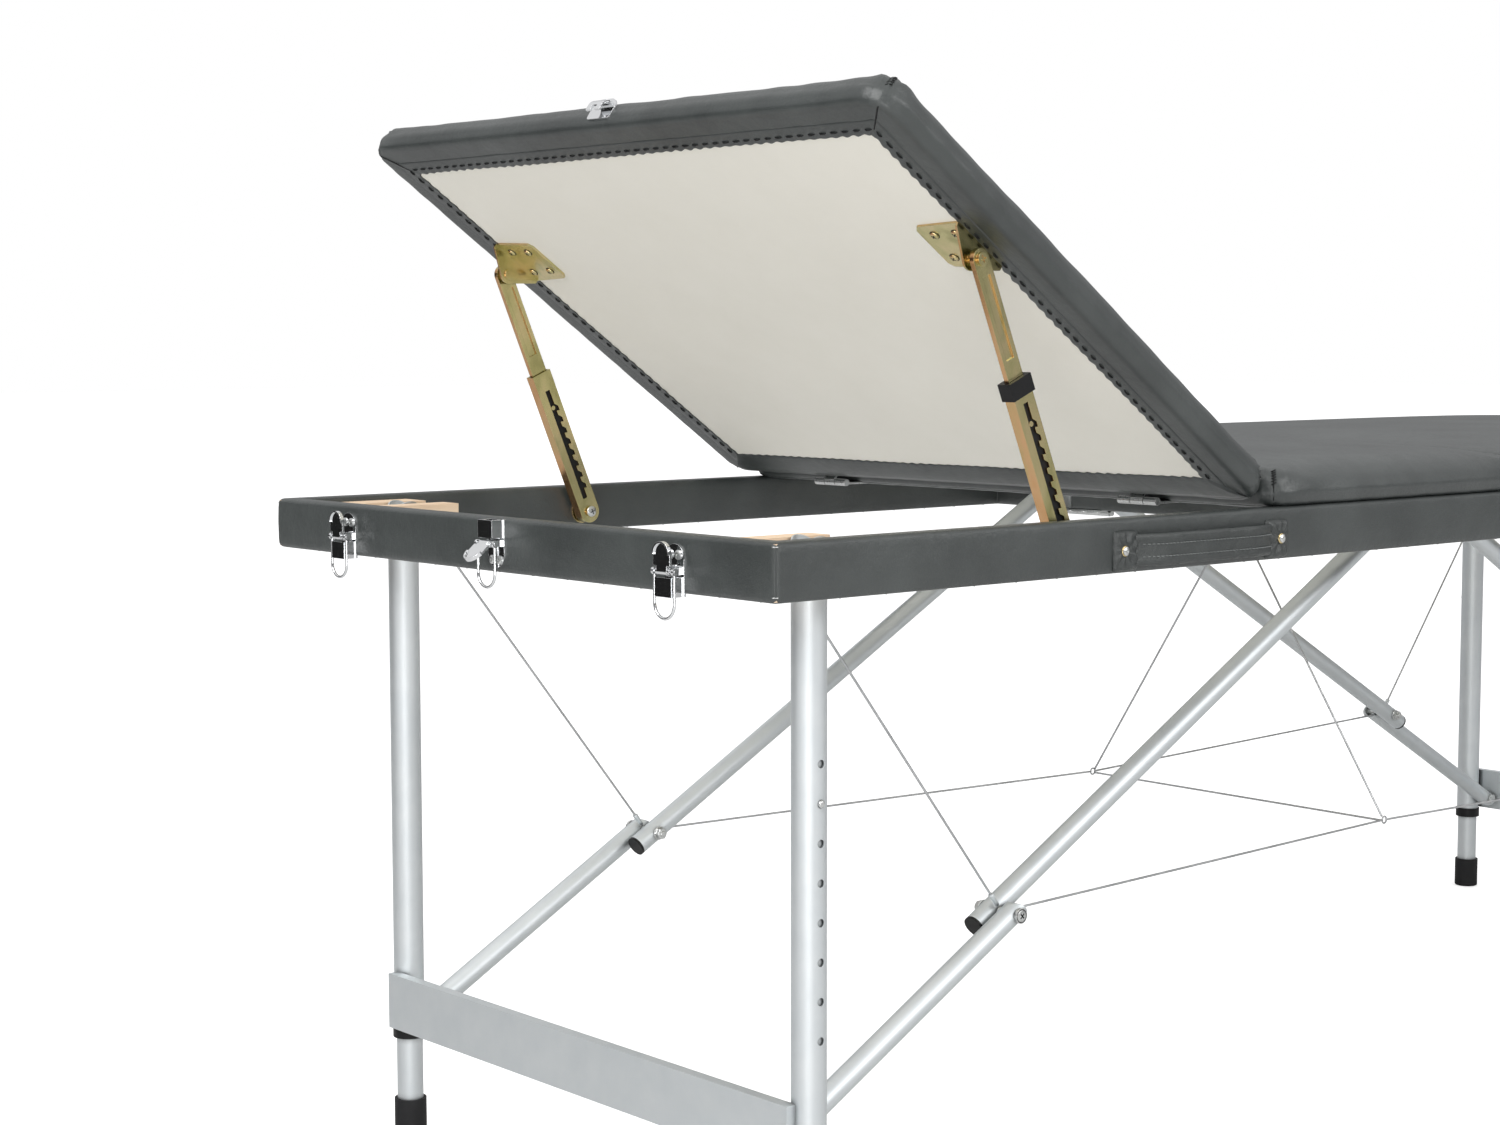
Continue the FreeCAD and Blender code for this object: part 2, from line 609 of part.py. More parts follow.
def latch_keepers():
    """Strike hooks on the far end rail, which the outer latches catch when folded."""
    keepers = []
    for y in (LATCH_Y[0], LATCH_Y[2]):
        face = HALF_LENGTH
        plate = box(face, face + 2, y - 13, y + 13, 549, 571)
        x0, x1 = face + 2, face + KEEPER_DEPTH
        profile = [(x0, 556), (x1, 556), (x1, 566), (x1 - 1.8, 566), (x1 - 1.8, 558), (x0, 558)]
        hook = outline(profile, lambda a, b: Vector(a, y - 8, b)).extrude(Vector(0, 16, 0))
        keepers.append(plate.fuse(hook).removeSplitter())
    return group(keepers)


def keeper_screw_places():
    return [
        (Vector(HALF_LENGTH + 2.0, y + dy, 552.5), Vector(-1, 0, 0))
        for y in (LATCH_Y[0], LATCH_Y[2])
        for dy in (-8.0, 8.0)
    ]


# ---------------------------------------------------------------- legs
def hole_heights():
    return [HOLE_TOP - HOLE_PITCH * k for k in range(HOLE_COUNT)]


def leg_frame():
    """Two outer tubes and the flat crossbar welded to them."""
    y = LEG_Y
    top_round = LEG_RADIUS + 1.2
    outer = cylinder(LEG_X, y, LEG_BOTTOM, Z_AXIS, LEG_RADIUS, 600 - LEG_BOTTOM)
    keep = box(LEG_X - 20, LEG_X + 20, y - 20, y + 20, 0, LEG_PIVOT_Z)
    keep = keep.fuse(across(LEG_X, LEG_PIVOT_Z, y - 20, y + 20, top_round)).removeSplitter()
    outer = outer.common(keep)
    core = cylinder(LEG_X, y, LEG_BOTTOM - 1, Z_AXIS, LEG_RADIUS - LEG_WALL, 700)
    tube = outer.cut(core)
    cuts = [across(LEG_X, LEG_PIVOT_Z, y - 20, y + 20, BOLT_RADIUS + RUNNING_FIT)]
    cuts.append(across(LEG_X, LOWER_PIVOT_Z, y - 20, y, BOLT_RADIUS + RUNNING_FIT))
    cuts += [across(LEG_X, z, y, y + 20, HOLE_RADIUS) for z in hole_heights()]
    tube = tube.cut(Part.makeCompound(cuts))
    x1 = LEG_X - LEG_RADIUS + 1.5
    crossbar = box(x1 - CROSSBAR_THICKNESS, x1, -y, y, CROSSBAR_TOP - CROSSBAR_HEIGHT, CROSSBAR_TOP)
    solid_legs = both_sides(cylinder(LEG_X, y, 50, Z_AXIS, LEG_RADIUS, 200))
    crossbar = crossbar.cut(solid_legs)
    return group([both_sides(tube), crossbar])


def leg_collars():
    """Plastic bushes at the lower ends of the outer tubes."""
    y = LEG_Y
    ring = cylinder(LEG_X, y, LEG_BOTTOM - 7, Z_AXIS, LEG_RADIUS + 1.4, 11.0)
    seat = cylinder(LEG_X, y, LEG_BOTTOM, Z_AXIS, LEG_RADIUS, 20)
    bore = cylinder(LEG_X, y, 50, Z_AXIS, LEG_RADIUS - LEG_WALL, 100)
    return both_sides(ring.cut(seat).cut(bore))


def inner_leg():
    """The sliding tube in the +Y leg, with one hole for its button."""
    radius = LEG_RADIUS - LEG_WALL - INNER_GAP
    tube = cylinder(LEG_X, LEG_Y, 5, Z_AXIS, radius, 415)
    tube = tube.cut(cylinder(LEG_X, LEG_Y, 0, Z_AXIS, radius - LEG_WALL, 500))
    return tube.cut(across(LEG_X, BUTTON_HEIGHT, LEG_Y, LEG_Y + 20, HOLE_RADIUS))


def leg_foot():
    radius = LEG_RADIUS - LEG_WALL - INNER_GAP
    cup = cylinder(LEG_X, LEG_Y, 0, Z_AXIS, LEG_RADIUS + 0.9, 36)
    cup = cup.cut(cylinder(LEG_X, LEG_Y, 5, Z_AXIS, radius, 50))
    rim = [e for e in cup.Edges if abs(e.CenterOfMass.z) < 0.01]
    return cup.makeFillet(2.0, rim)


def leg_button():
    """A domed spring button on a bent steel clip inside the inner tube."""
    y0 = LEG_Y + 8.6
    tip = LEG_Y + LEG_RADIUS + 2.0
    button = across(LEG_X, BUTTON_HEIGHT, y0, tip, HOLE_RADIUS - 0.25)
    edge = [e for e in button.Edges if abs(e.CenterOfMass.y - tip) < 0.01]
    button = button.makeFillet(1.6, edge)
    z = BUTTON_HEIGHT
    clip_outline = [
        (y0 + 0.6, z + 8), (y0, z + 8), (y0, z - 10), (LEG_Y - 4, z - 52), (LEG_Y - 9.2, z - 46),
        (LEG_Y - 9.2, z - 6), (LEG_Y - 9.8, z - 6), (LEG_Y - 9.8, z - 46.3), (LEG_Y - 4, z - 53),
        (y0 + 0.6, z - 10.2),
    ]
    clip = outline(clip_outline, lambda a, b: Vector(LEG_X - 3, a, b)).extrude(Vector(6, 0, 0))
    return button.fuse(clip).removeSplitter()


# ---------------------------------------------------------------- braces and cables
def brace(y, start, end, start_round, end_round):
    """A round tube between two points of the brace plane, rounded about its pivots."""
    a, b = Vector(start.x, y, start.z), Vector(end.x, y, end.z)
    run = Vector(b - a).normalize()
    tail = a - run * (BRACE_RADIUS if start_round else 0.0)
    nose = b + run * (BRACE_RADIUS if end_round else UPPER_OVERRUN)
    tube = bar(tail, nose, BRACE_RADIUS).cut(bar(tail - run, nose + run, BRACE_RADIUS - BRACE_WALL))
    core_a, core_b = a, (b if end_round else nose)
    keep = [bar(core_a, core_b, BRACE_RADIUS + 1)]
    if start_round:
        keep.append(across(a.x, a.z, y - 15, y + 15, BRACE_RADIUS))
    if end_round:
        keep.append(across(b.x, b.z, y - 15, y + 15, BRACE_RADIUS))
    tube = tube.common(keep[0].fuse(keep[1:]) if keep[1:] else keep[0])
    bore = [across(p.x, p.z, y - 20, y + 20, BOLT_RADIUS + RUNNING_FIT) for p in (a, b)]
    return tube.cut(Part.makeCompound(bore))


def lower_brace():
    return brace(LOWER_BRACE_Y, LOWER_PIVOT, KNEE, True, True)


def upper_brace():
    return brace(UPPER_BRACE_Y, UPPER_PIVOT, KNEE, True, False)


def brace_plug():
    """A plastic plug in the open end of an upper brace."""
    run = BRACE_DIRECTION * -1
    end = Vector(KNEE.x, UPPER_BRACE_Y, KNEE.z) + run * UPPER_OVERRUN
    flange = bar(end, end + run * 2.5, BRACE_RADIUS)
    stem = bar(end - run * 9, end + run * 0.5, BRACE_RADIUS - BRACE_WALL)
    return flange.fuse(stem).removeSplitter()


def brace_bolts():
    """On each lower brace: the bolt into the leg's wall, and the outer half of the knee bolt."""
    x, z = LOWER_PIVOT.x, LOWER_PIVOT.z
    wall_end = LEG_Y - LEG_RADIUS + LEG_WALL - 0.2
    leg_bolt = across(x, z, LOWER_BRACE_Y - 12.0, wall_end, BOLT_RADIUS)
    head = hex_head(x, z, LOWER_BRACE_Y - 12.4, LOWER_BRACE_Y - BRACE_RADIUS, 11)
    leg_bolt = leg_bolt.fuse(head).removeSplitter()
    knee_bolt = across(KNEE.x, KNEE.z, UPPER_BRACE_Y + BRACE_RADIUS + 0.4, 259.4, BOLT_RADIUS)
    cap = across(KNEE.x, KNEE.z, LOWER_BRACE_Y + BRACE_RADIUS, 260.4, 6.5)
    cap = cap.cut(across(KNEE.x, KNEE.z, 259.2, 262.0, 2.0))
    knee_bolt = knee_bolt.cut(across(KNEE.x, KNEE.z, 259.2, 262.0, 2.0))
    return group([leg_bolt, knee_bolt.fuse(cap).removeSplitter()])


def cable(start, end):
    return bar(Vector(*start), Vector(*end), CABLE_RADIUS)


def stay_cables():
    """Straight wire ropes: knee to leg top, knee to the middle junction, junction to the rails."""
    jx, jy, jz = CABLE_JUNCTION
    gap = 3.0
    runs = []
    for end in (-1, 1):
        knee = Vector(-end * KNEE.x, CABLE_Y, KNEE.z)
        top = (-end * (LEG_X + CABLE_TOP_SETBACK), CABLE_Y, CABLE_TOP)
        for place in (top, (jx + end * gap, jy, jz)):
            toward = Vector(*place) - knee
            toward.normalize()
            runs.append(cable(tuple(knee + toward * KNEE_EYE), place))
    sides = both_sides(group(runs))
    up = cable((jx, jy - gap, jz + gap), (0, 9.0, 537.0))
    level = cable((jx, -jy + gap, jz - 1.0), (jx, jy - gap, jz - 1.0))
    ferrule = cylinder(jx - 5, jy, jz, X_AXIS, 2.6, 10).cut(bar(Vector(jx - 6, jy, jz), Vector(jx + 6, jy, jz), 2.0))
    return group([sides, both_sides(up), level, both_sides(ferrule)])


# ---------------------------------------------------------------- the whole table
def group_one(shape):
    return group([shape])


def half_nodes(name, place, fixings, extra_cuts):
    """The nodes that both halves share. place puts a shape drawn at x < 0 where it belongs."""
    common_places = bracket_screw_places() + centre_leaf_screw_places() + handle_screw_places()
    holes = screw_holes(common_places)
    cuts = holes + extra_cuts
    strap = handle()
    nodes = {
        f"{name}_wood_frame": place(minus(wood_frame(), cuts)),
        f"{name}_frame_cover": place(minus(frame_cover(), cuts)),
        f"{name}_brace_brackets": place(minus(brace_brackets(), holes)),
        f"centre_hinge_{name}_leaves": place(minus(centre_leaves(), holes)),
        f"{name}_handle": place(minus(strap, holes)),
        f"{name}_fasteners": group(
            [place(group([pivot_bolts()] + screws(common_places)))] + fixings
        ),
        f"{name}_leg_frame": place(leg_frame()),
        f"{name}_leg_collars": place(leg_collars()),
        f"{name}_lower_braces": place(both_sides(lower_brace())),
        f"{name}_upper_braces": place(both_sides(upper_brace())),
        f"{name}_brace_plugs": place(both_sides(brace_plug())),
        f"{name}_brace_bolts": place(both_sides(brace_bolts())),
    }
    for side, turn in (("left", flip_y), ("right", group_one)):
        nodes[f"{name}_{side}_inner_leg"] = place(turn(inner_leg()))
        nodes[f"{name}_{side}_foot"] = place(turn(leg_foot()))
        nodes[f"{name}_{side}_button"] = place(turn(leg_button()))
    return nodes


def foot_hinge_leaves():
    """The foot half's hinge leaves sit between the head half's knuckles."""
    shifted = centre_leaves().translated(Vector(0, 15.0, 0))
    keep = [box(-40, 40, y - 30, y + 30, 500, 600) for y in LEAF_Y]
    leaves = []
    for leaf, room in zip(shifted.Solids, keep):
        plate = leaf.common(box(-40, -4.0, -400, 400, 500, 600)).translated(Vector(0, -15.0, 0))
        rolls = leaf.cut(box(-40, -4.0, -400, 400, 500, 600))
        leaves.append(plate.fuse(rolls).removeSplitter().common(room))
    return flip_x(group(leaves))


def main():
    os.makedirs("parts", exist_ok=True)
    nodes = {}

    seat_places = seat_leaf_screw_places()
    head_places = latch_screw_places()
    head_holes = screw_holes(head_places) + strut_bolt_holes()
    head_fixings = screws(head_places + seat_places)
    nodes.update(half_nodes("head", group_one, head_fixings, head_holes))

    keeper_places = keeper_screw_places()
    mirrored_holes = [flip_x(hole) for hole in screw_holes(keeper_places)]
    nodes.update(half_nodes("foot", flip_x, screws(keeper_places), mirrored_holes))
    nodes["centre_hinge_foot_leaves"] = minus(
        foot_hinge_leaves(), [flip_x(hole) for hole in screw_holes(centre_leaf_screw_places())]
    )
    nodes["centre_hinge_pins"] = centre_pins()

    seat_holes = screw_holes(seat_places)
    nodes["seat_pad"] = pad(*SEAT_X, FRAME_TOP, PAD_TOP)
    nodes["seat_board"] = minus(board(*SEAT_X, FRAME_TOP), seat_holes)
    nodes["seat_pad"] = minus(nodes["seat_pad"], seat_holes)
    nodes["backrest_hinge_seat_leaves"] = minus(seat_leaves(), seat_holes)
    foot_x = (MIDDLE_GAP, HALF_LENGTH)
    nodes["foot_pad"] = pad(*foot_x, FRAME_TOP, PAD_TOP)
    nodes["foot_board"] = board(*foot_x, FRAME_TOP)

    brackets, bracket_holes = strut_brackets()
    bracket_holes = bracket_holes + [flip_y(hole) for hole in bracket_holes]
    flat_pad = minus(pad(*BACKREST_X, *BACKREST_Z), bracket_holes + backrest_leaves().Solids)
    flat_board = minus(board(*BACKREST_X, BACKREST_Z[0]), bracket_holes)
    nodes["backrest_pad"] = lift_backrest(flat_pad)
    nodes["backrest_board"] = lift_backrest(flat_board)
    nodes["backrest_hinge_pad_leaves"] = lift_backrest(backrest_leaves())
    nodes["strut_top_brackets"] = lift_backrest(brackets)
    nodes["backrest_catch"] = lift_backrest(minus(backrest_catch(), [flat_pad]))

    nodes["strut_channels"] = both_sides(stand_strut(strut_channel()))
    nodes["strut_rods"] = both_sides(stand_strut(strut_rod()))
    nodes["strut_guide"] = flip_y(stand_strut(strut_guide()))
    nodes["strut_foot_brackets"] = strut_foot_brackets()

    bases, levers, bails = latches()
    nodes["latch_bases"] = minus(bases, head_holes)
    for label, lever, bail in zip(("right", "middle", "left"), levers, bails):
        nodes[f"latch_{label}_lever"] = lever
        nodes[f"latch_{label}_bail"] = bail
    nodes["latch_keepers"] = minus(latch_keepers(), screw_holes(keeper_places))
    nodes["stay_cables"] = stay_cables()

    for name, shape in nodes.items():
        if not shape.isValid():
            print("not valid:", name)
        shape.exportStep(f"parts/{name}.step")
    print(len(nodes), "nodes")
    print("knee", round(KNEE.x, 2), round(KNEE.z, 2))
    print("strut head", STRUT_HEAD, "length", round(STRUT_LENGTH, 2), "lean", round(STRUT_LEAN, 2))


main()
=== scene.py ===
import json
from math import atan2, copysign, cos, exp, hypot, pi, radians, sin

import bmesh
import bpy
from mathutils import Matrix, Vector, noise


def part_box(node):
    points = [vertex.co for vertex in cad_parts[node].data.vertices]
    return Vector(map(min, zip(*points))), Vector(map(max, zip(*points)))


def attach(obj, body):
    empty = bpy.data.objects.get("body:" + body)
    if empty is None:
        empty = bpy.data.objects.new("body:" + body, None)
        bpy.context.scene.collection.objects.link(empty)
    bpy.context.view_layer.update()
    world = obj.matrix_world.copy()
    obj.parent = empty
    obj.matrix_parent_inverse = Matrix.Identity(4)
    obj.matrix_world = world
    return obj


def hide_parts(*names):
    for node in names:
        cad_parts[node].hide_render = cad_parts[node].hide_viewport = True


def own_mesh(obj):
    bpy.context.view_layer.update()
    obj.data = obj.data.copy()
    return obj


# Looks of the folding massage table: leather pads and rail covers, carry handles, stay cables,
# welds and trim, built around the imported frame. Metres, in the frame's own axes.

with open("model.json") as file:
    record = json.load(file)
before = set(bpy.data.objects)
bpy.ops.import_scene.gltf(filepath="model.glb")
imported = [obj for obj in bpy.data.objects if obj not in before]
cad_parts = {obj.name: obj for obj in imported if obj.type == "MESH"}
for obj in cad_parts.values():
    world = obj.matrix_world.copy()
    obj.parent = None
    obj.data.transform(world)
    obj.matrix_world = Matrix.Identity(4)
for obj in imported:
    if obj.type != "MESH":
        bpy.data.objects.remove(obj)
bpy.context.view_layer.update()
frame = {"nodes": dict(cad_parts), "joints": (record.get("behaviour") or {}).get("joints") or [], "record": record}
NODES = frame["nodes"]
JOINTS = {joint["name"]: joint for joint in frame["joints"]}

MM = 0.001
SIDES = (("left", -1), ("right", 1))
HALVES = (("head", -1), ("foot", 1))

# ---------------- sizes from the frame
COVER_LOW, COVER_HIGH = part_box("head_frame_cover")
HALF_LENGTH = -COVER_LOW.x
SIDE = COVER_HIGH.y
FRAME_BOTTOM, FRAME_TOP = COVER_LOW.z, COVER_HIGH.z
RAIL = 17.2 * MM
HANDLE_SCREW_IN = 11 * MM
HANDLE_SCREW_Z = 564 * MM
PAD_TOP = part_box("foot_pad")[1].z
SEAT_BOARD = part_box("seat_board")
BOARD_MARGIN = SIDE - SEAT_BOARD[1].y
BOARD_THICKNESS = SEAT_BOARD[1].z - SEAT_BOARD[0].z
HINGE = Vector(JOINTS["backrest_tilt"]["pos_m"])
BACKREST_TILT = -radians(JOINTS["backrest_tilt"]["range_deg"][0])
TO_HINGE = Matrix.Translation(HINGE)
LIFT_BACKREST = TO_HINGE @ Matrix.Rotation(BACKREST_TILT, 4, "Y") @ TO_HINGE.inverted()
BACKREST_GAP = 6 * MM
BACKREST_LIFT = 0.4 * MM
KNEE_X = -591.04 * MM
KNEE_Z = 259.31 * MM
UPPER_BRACE_Y = 226.0 * MM
KNEE_CAP_Y = 260.3 * MM
LEG_X = JOINTS["head_leg_fold"]["pos_m"][0]
LEG_Y = 274.8 * MM
LEG_RADIUS = 13.75 * MM


# ---------------- materials
PINE_STOPS = [
    (0.28, (0.66, 0.44, 0.27)),
    (0.45, (0.83, 0.62, 0.43)),
    (0.62, (0.88, 0.69, 0.50)),
    (0.80, (0.76, 0.54, 0.35)),
]
OLIVE_GOLD_STOPS = [
    (0.30, (0.42, 0.39, 0.17)),
    (0.45, (0.62, 0.56, 0.28)),
    (0.58, (0.72, 0.60, 0.33)),
    (0.72, (0.46, 0.46, 0.23)),
]
# Copper colours for the painted sheen on the yellow zinc's narrow faces.
COPPER_SHEEN_STOPS = [(0.30, (0.60, 0.33, 0.14)), (0.50, (0.68, 0.42, 0.22)), (0.70, (0.54, 0.42, 0.19))]
BOARD_DARK, BOARD_LIGHT = (0.89, 0.865, 0.775), (0.92, 0.895, 0.81)
LEATHER_DARK = (0.029, 0.034, 0.033)
LEATHER_LIGHT = (0.058, 0.066, 0.064)


def new_material(name):
    material = bpy.data.materials.new(name)
    material.use_nodes = True
    tree = material.node_tree
    shader = tree.nodes["Principled BSDF"]
    return material, tree, shader


def add(tree, kind, **values):
    """A node with its sockets set by name, where an underscore stands for a space."""
    node = tree.nodes.new(kind)
    for key, value in values.items():
        node.inputs[key.replace("_", " ")].default_value = value
    return node


def feed(node, **outputs):
    """Links outputs to a node's sockets by name, where an underscore stands for a space."""
    for key, output in outputs.items():
        node.id_data.links.new(output, node.inputs[key.replace("_", " ")])


def coordinates(tree, scale=(1, 1, 1)):
    source = tree.nodes.new("ShaderNodeTexCoord")
    mapping = tree.nodes.new("ShaderNodeMapping")
    mapping.inputs["Scale"].default_value = scale
    feed(mapping, Vector=source.outputs["Object"])
    return mapping.outputs["Vector"]


def ramp(tree, factor, stops):
    node = tree.nodes.new("ShaderNodeValToRGB")
    elements = node.color_ramp.elements
    while len(elements) < len(stops):
        elements.new(0.5)
    for element, (position, colour) in zip(elements, stops):
        element.position = position
        element.color = (*colour, 1)
    feed(node, Fac=factor)
    return node.outputs["Color"]


def two_tone(tree, factor, low, high):
    return ramp(tree, factor, [(0.3, low), (0.7, high)])


def split(tree, output, axis):
    """One axis of a texture coordinate."""
    source = tree.nodes.new("ShaderNodeTexCoord")
    parts = tree.nodes.new("ShaderNodeSeparateXYZ")
    feed(parts, Vector=source.outputs[output])
    return parts.outputs[axis]


def span(tree, factor, low, high, start=0.0, end=1.0):
    """The factor's range from start to end, laid over low to high."""
    node = add(tree, "ShaderNodeMapRange", From_Min=start, From_Max=end, To_Min=low, To_Max=high)
    feed(node, Value=factor)
    return node.outputs["Result"]


def mix_colours(tree, factor, first, second):
    """Blends two colours, each an output or a constant."""
    node = tree.nodes.new("ShaderNodeMix")
    node.data_type = "RGBA"
    feed(node, Factor=factor)
    for socket, colour in (("A", first), ("B", second)):
        if isinstance(colour, tuple):
            node.inputs[socket].default_value = (*colour, 1)
        else:
            feed(node, **{socket: colour})
    return node.outputs["Result"]


def noise_texture(tree, vector, scale, detail=4.0, roughness=0.55):
    node = add(tree, "ShaderNodeTexNoise", Scale=scale, Detail=detail, Roughness=roughness)
    feed(node, Vector=vector)
    return node.outputs["Fac"]


def bump(tree, height, distance, strength=1.0, under=None):
    node = add(tree, "ShaderNodeBump", Strength=strength, Distance=distance)
    feed(node, Height=height)
    if under is not None:
        feed(node, Normal=under)
    return node.outputs["Normal"]


def soft_edges(tree, radius):
    """Rounds a hard edge's shading, as a small real radius would."""
    node = add(tree, "ShaderNodeBevel", Radius=radius)
    return node.outputs["Normal"]


def leather_material(name, dark, light, grain=1.0):
    """Synthetic leather: fine pebbled grain over slow tone changes."""
    material, tree, shader = new_material(name)
    vector = coordinates(tree)
    tone = noise_texture(tree, vector, 9.0, 3.0)
    feed(shader, Base_Color=two_tone(tree, tone, dark, light))
    cells = add(tree, "ShaderNodeTexVoronoi", Scale=720.0, Randomness=1.0)
    cells.feature = "DISTANCE_TO_EDGE"
    feed(cells, Vector=vector)
    pebbles = bump(tree, cells.outputs["Distance"], 0.25 * MM * grain, 0.7)
    creases = noise_texture(tree, vector, 120.0, 7.0, 0.72)
    feed(shader, Normal=bump(tree, creases, 1.2 * MM * grain, 0.6, pebbles))
    feed(shader, Roughness=span(tree, creases, 0.26, 0.46))
    shader.inputs["Specular IOR Level"].default_value = 0.75
    return material


def pine_material():
    material, tree, shader = new_material("pine")
    vector = coordinates(tree, (5.0, 55.0, 55.0))
    warp = noise_texture(tree, vector, 1.0, 6.0, 0.62)
    feed(shader, Base_Color=ramp(tree, warp, PINE_STOPS))
    fibres = noise_texture(tree, coordinates(tree, (12.0, 420.0, 420.0)), 1.0, 5.0, 0.6)
    feed(shader, Normal=bump(tree, fibres, 0.3 * MM, 0.6, soft_edges(tree, 0.8 * MM)))
    feed(shader, Roughness=span(tree, fibres, 0.55, 0.75))
    return material


def board_material():
    """Cream paper-faced board with a faint mottle."""
    material, tree, shader = new_material("cream_board")
    vector = coordinates(tree)
    mottle = noise_texture(tree, vector, 14.0, 8.0, 0.7)
    feed(shader, Base_Color=two_tone(tree, mottle, BOARD_DARK, BOARD_LIGHT))
    fibres = noise_texture(tree, coordinates(tree, (300.0, 900.0, 300.0)), 1.0, 4.0, 0.6)
    feed(shader, Normal=bump(tree, fibres, 0.15 * MM, 0.4), Roughness=span(tree, mottle, 0.48, 0.62))
    return material


def metal_material(name, colours, roughness, grain_scale, edge=0.4 * MM, painted_shade_reach=None):
    """A metal with a tone that drifts between colours and a drawn or cast grain, with painted shade that darkens
    its crevices when a reach is given.
    """
    material, tree, shader = new_material(name)
    shader.inputs["Metallic"].default_value = 1.0
    vector = coordinates(tree)
    tone = noise_texture(tree, vector, 35.0, 3.0)
    last = len(colours) - 1
    stops = [(0.32 + 0.36 * k / last, colour) for k, colour in enumerate(colours)]
    colour = ramp(tree, tone, stops)
    # Painted shade: an ambient occlusion node darkens the colour in holes and crevices, within this reach.
    if painted_shade_reach:
        occlusion = add(tree, "ShaderNodeAmbientOcclusion", Distance=painted_shade_reach)
        feed(occlusion, Color=colour)
        colour = occlusion.outputs["Color"]
    feed(shader, Base_Color=colour)
    streaks = noise_texture(tree, coordinates(tree, grain_scale), 1.0, 4.0, 0.6)
    low, high = roughness
    feed(shader, Roughness=span(tree, streaks, low, high))
    feed(shader, Normal=bump(tree, streaks, 0.05 * MM, 0.35, soft_edges(tree, edge)))
    return material


def yellow_zinc_material():
    """Passivated zinc in drifting bands: olive gold on the broad faces, and on the narrow ones a copper colour
    that is a painted sheen.
    """
    material, tree, shader = new_material("yellow_zinc")
    shader.inputs["Metallic"].default_value = 1.0
    # Painted sheen: faces that point nearly along X take the copper colours.
    facing = tree.nodes.new("ShaderNodeMath")
    facing.operation = "ABSOLUTE"
    tree.links.new(split(tree, "Normal", "X"), facing.inputs[0])
    bands = noise_texture(tree, coordinates(tree, (38.0, 38.0, 16.0)), 1.0, 3.0, 0.5)
    copper_sheen_mask = span(tree, facing.outputs["Value"], 0.0, 1.0, 0.7, 0.9)
    broad, narrow_face_sheen = ramp(tree, bands, OLIVE_GOLD_STOPS), ramp(tree, bands, COPPER_SHEEN_STOPS)
    feed(shader, Base_Color=mix_colours(tree, copper_sheen_mask, broad, narrow_face_sheen))
    speckle = noise_texture(tree, coordinates(tree), 700.0, 3.0)
    feed(shader, Roughness=span(tree, speckle, 0.20, 0.30))
    feed(shader, Normal=bump(tree, speckle, 0.05 * MM, 0.3, soft_edges(tree, 0.5 * MM)))
    return material


def plastic_material(name, colour, roughness):
    material, tree, shader = new_material(name)
    vector = coordinates(tree)
    mould = noise_texture(tree, vector, 1500.0, 2.0)
    low, high = (tuple(c * k for c in colour) for k in (0.85, 1.2))
    feed(shader, Base_Color=two_tone(tree, noise_texture(tree, vector, 60.0), low, high))
    feed(shader, Normal=bump(tree, mould, 0.06 * MM, 0.4, soft_edges(tree, 0.4 * MM)))
    feed(shader, Roughness=span(tree, mould, roughness - 0.05, roughness + 0.05))
    shader.inputs["Specular IOR Level"].default_value = 0.3
    return material


MATERIALS = {
    "pine": pine_material(),
    "frame_leather": leather_material("frame_leather", LEATHER_DARK, LEATHER_LIGHT),
    "cushion_leather": leather_material("cushion_leather", LEATHER_DARK, LEATHER_LIGHT, 0.8),
    "handle_leather": leather_material("handle_leather", (0.022, 0.026, 0.025), (0.045, 0.052, 0.050), 1.5),
    "board": board_material(),
    # The aluminium carries painted shade: its holes and crevices are darkened within 6 mm.
    "aluminium": metal_material(
        "aluminium",
        [(0.71, 0.745, 0.76), (0.75, 0.78, 0.79)],
        (0.48, 0.56),
        (900.0, 900.0, 12.0),
        edge=0.6 * MM,
        painted_shade_reach=6 * MM,
    ),
    "zinc_steel": metal_material(
        "zinc_steel", [(0.60, 0.61, 0.60), (0.72, 0.73, 0.72)], (0.22, 0.36), (500.0, 500.0, 500.0)
    ),
    "yellow_zinc": yellow_zinc_material(),
    "chrome": metal_material(
        "chrome", [(0.80, 0.81, 0.82), (0.86, 0.87, 0.88)], (0.05, 0.09), (300.0, 300.0, 300.0), 0.45 * MM
    ),
    "black_plastic": plastic_material("black_plastic", (0.006, 0.006, 0.0065), 0.42),
    "foot_rubber": plastic_material("foot_rubber", (0.012, 0.012, 0.013), 0.62),
    "wire_rope": metal_material(
        "wire_rope", [(0.50, 0.51, 0.52), (0.66, 0.67, 0.68)], (0.3, 0.45), (700.0, 700.0, 700.0)
    ),
}
# Black stitch thread, also the dark of the painted shade in screw slots and round screw seats.
THREAD_AND_SHADE = plastic_material("thread_and_painted_shade", (0.014, 0.015, 0.015), 0.7)
GREY_THREAD = plastic_material("grey_thread", (0.16, 0.17, 0.168), 0.6)
BRASS = metal_material("brass", [(0.66, 0.50, 0.24), (0.78, 0.62, 0.34)], (0.2, 0.3), (400.0, 400.0, 400.0))


def dress_nodes():
    """Each CAD node takes the material of its slot in the record."""
    for part in frame["record"]["subparts"]:
        node = NODES[part["node"]]
        node.data.materials.clear()
        node.data.materials.append(MATERIALS[part["material_slot"]])


# ---------------- mesh helpers
def put(name, data):
    """An object with this data, in the scene."""
    thing = bpy.data.objects.new(name, data)
    bpy.context.scene.collection.objects.link(thing)
    return thing


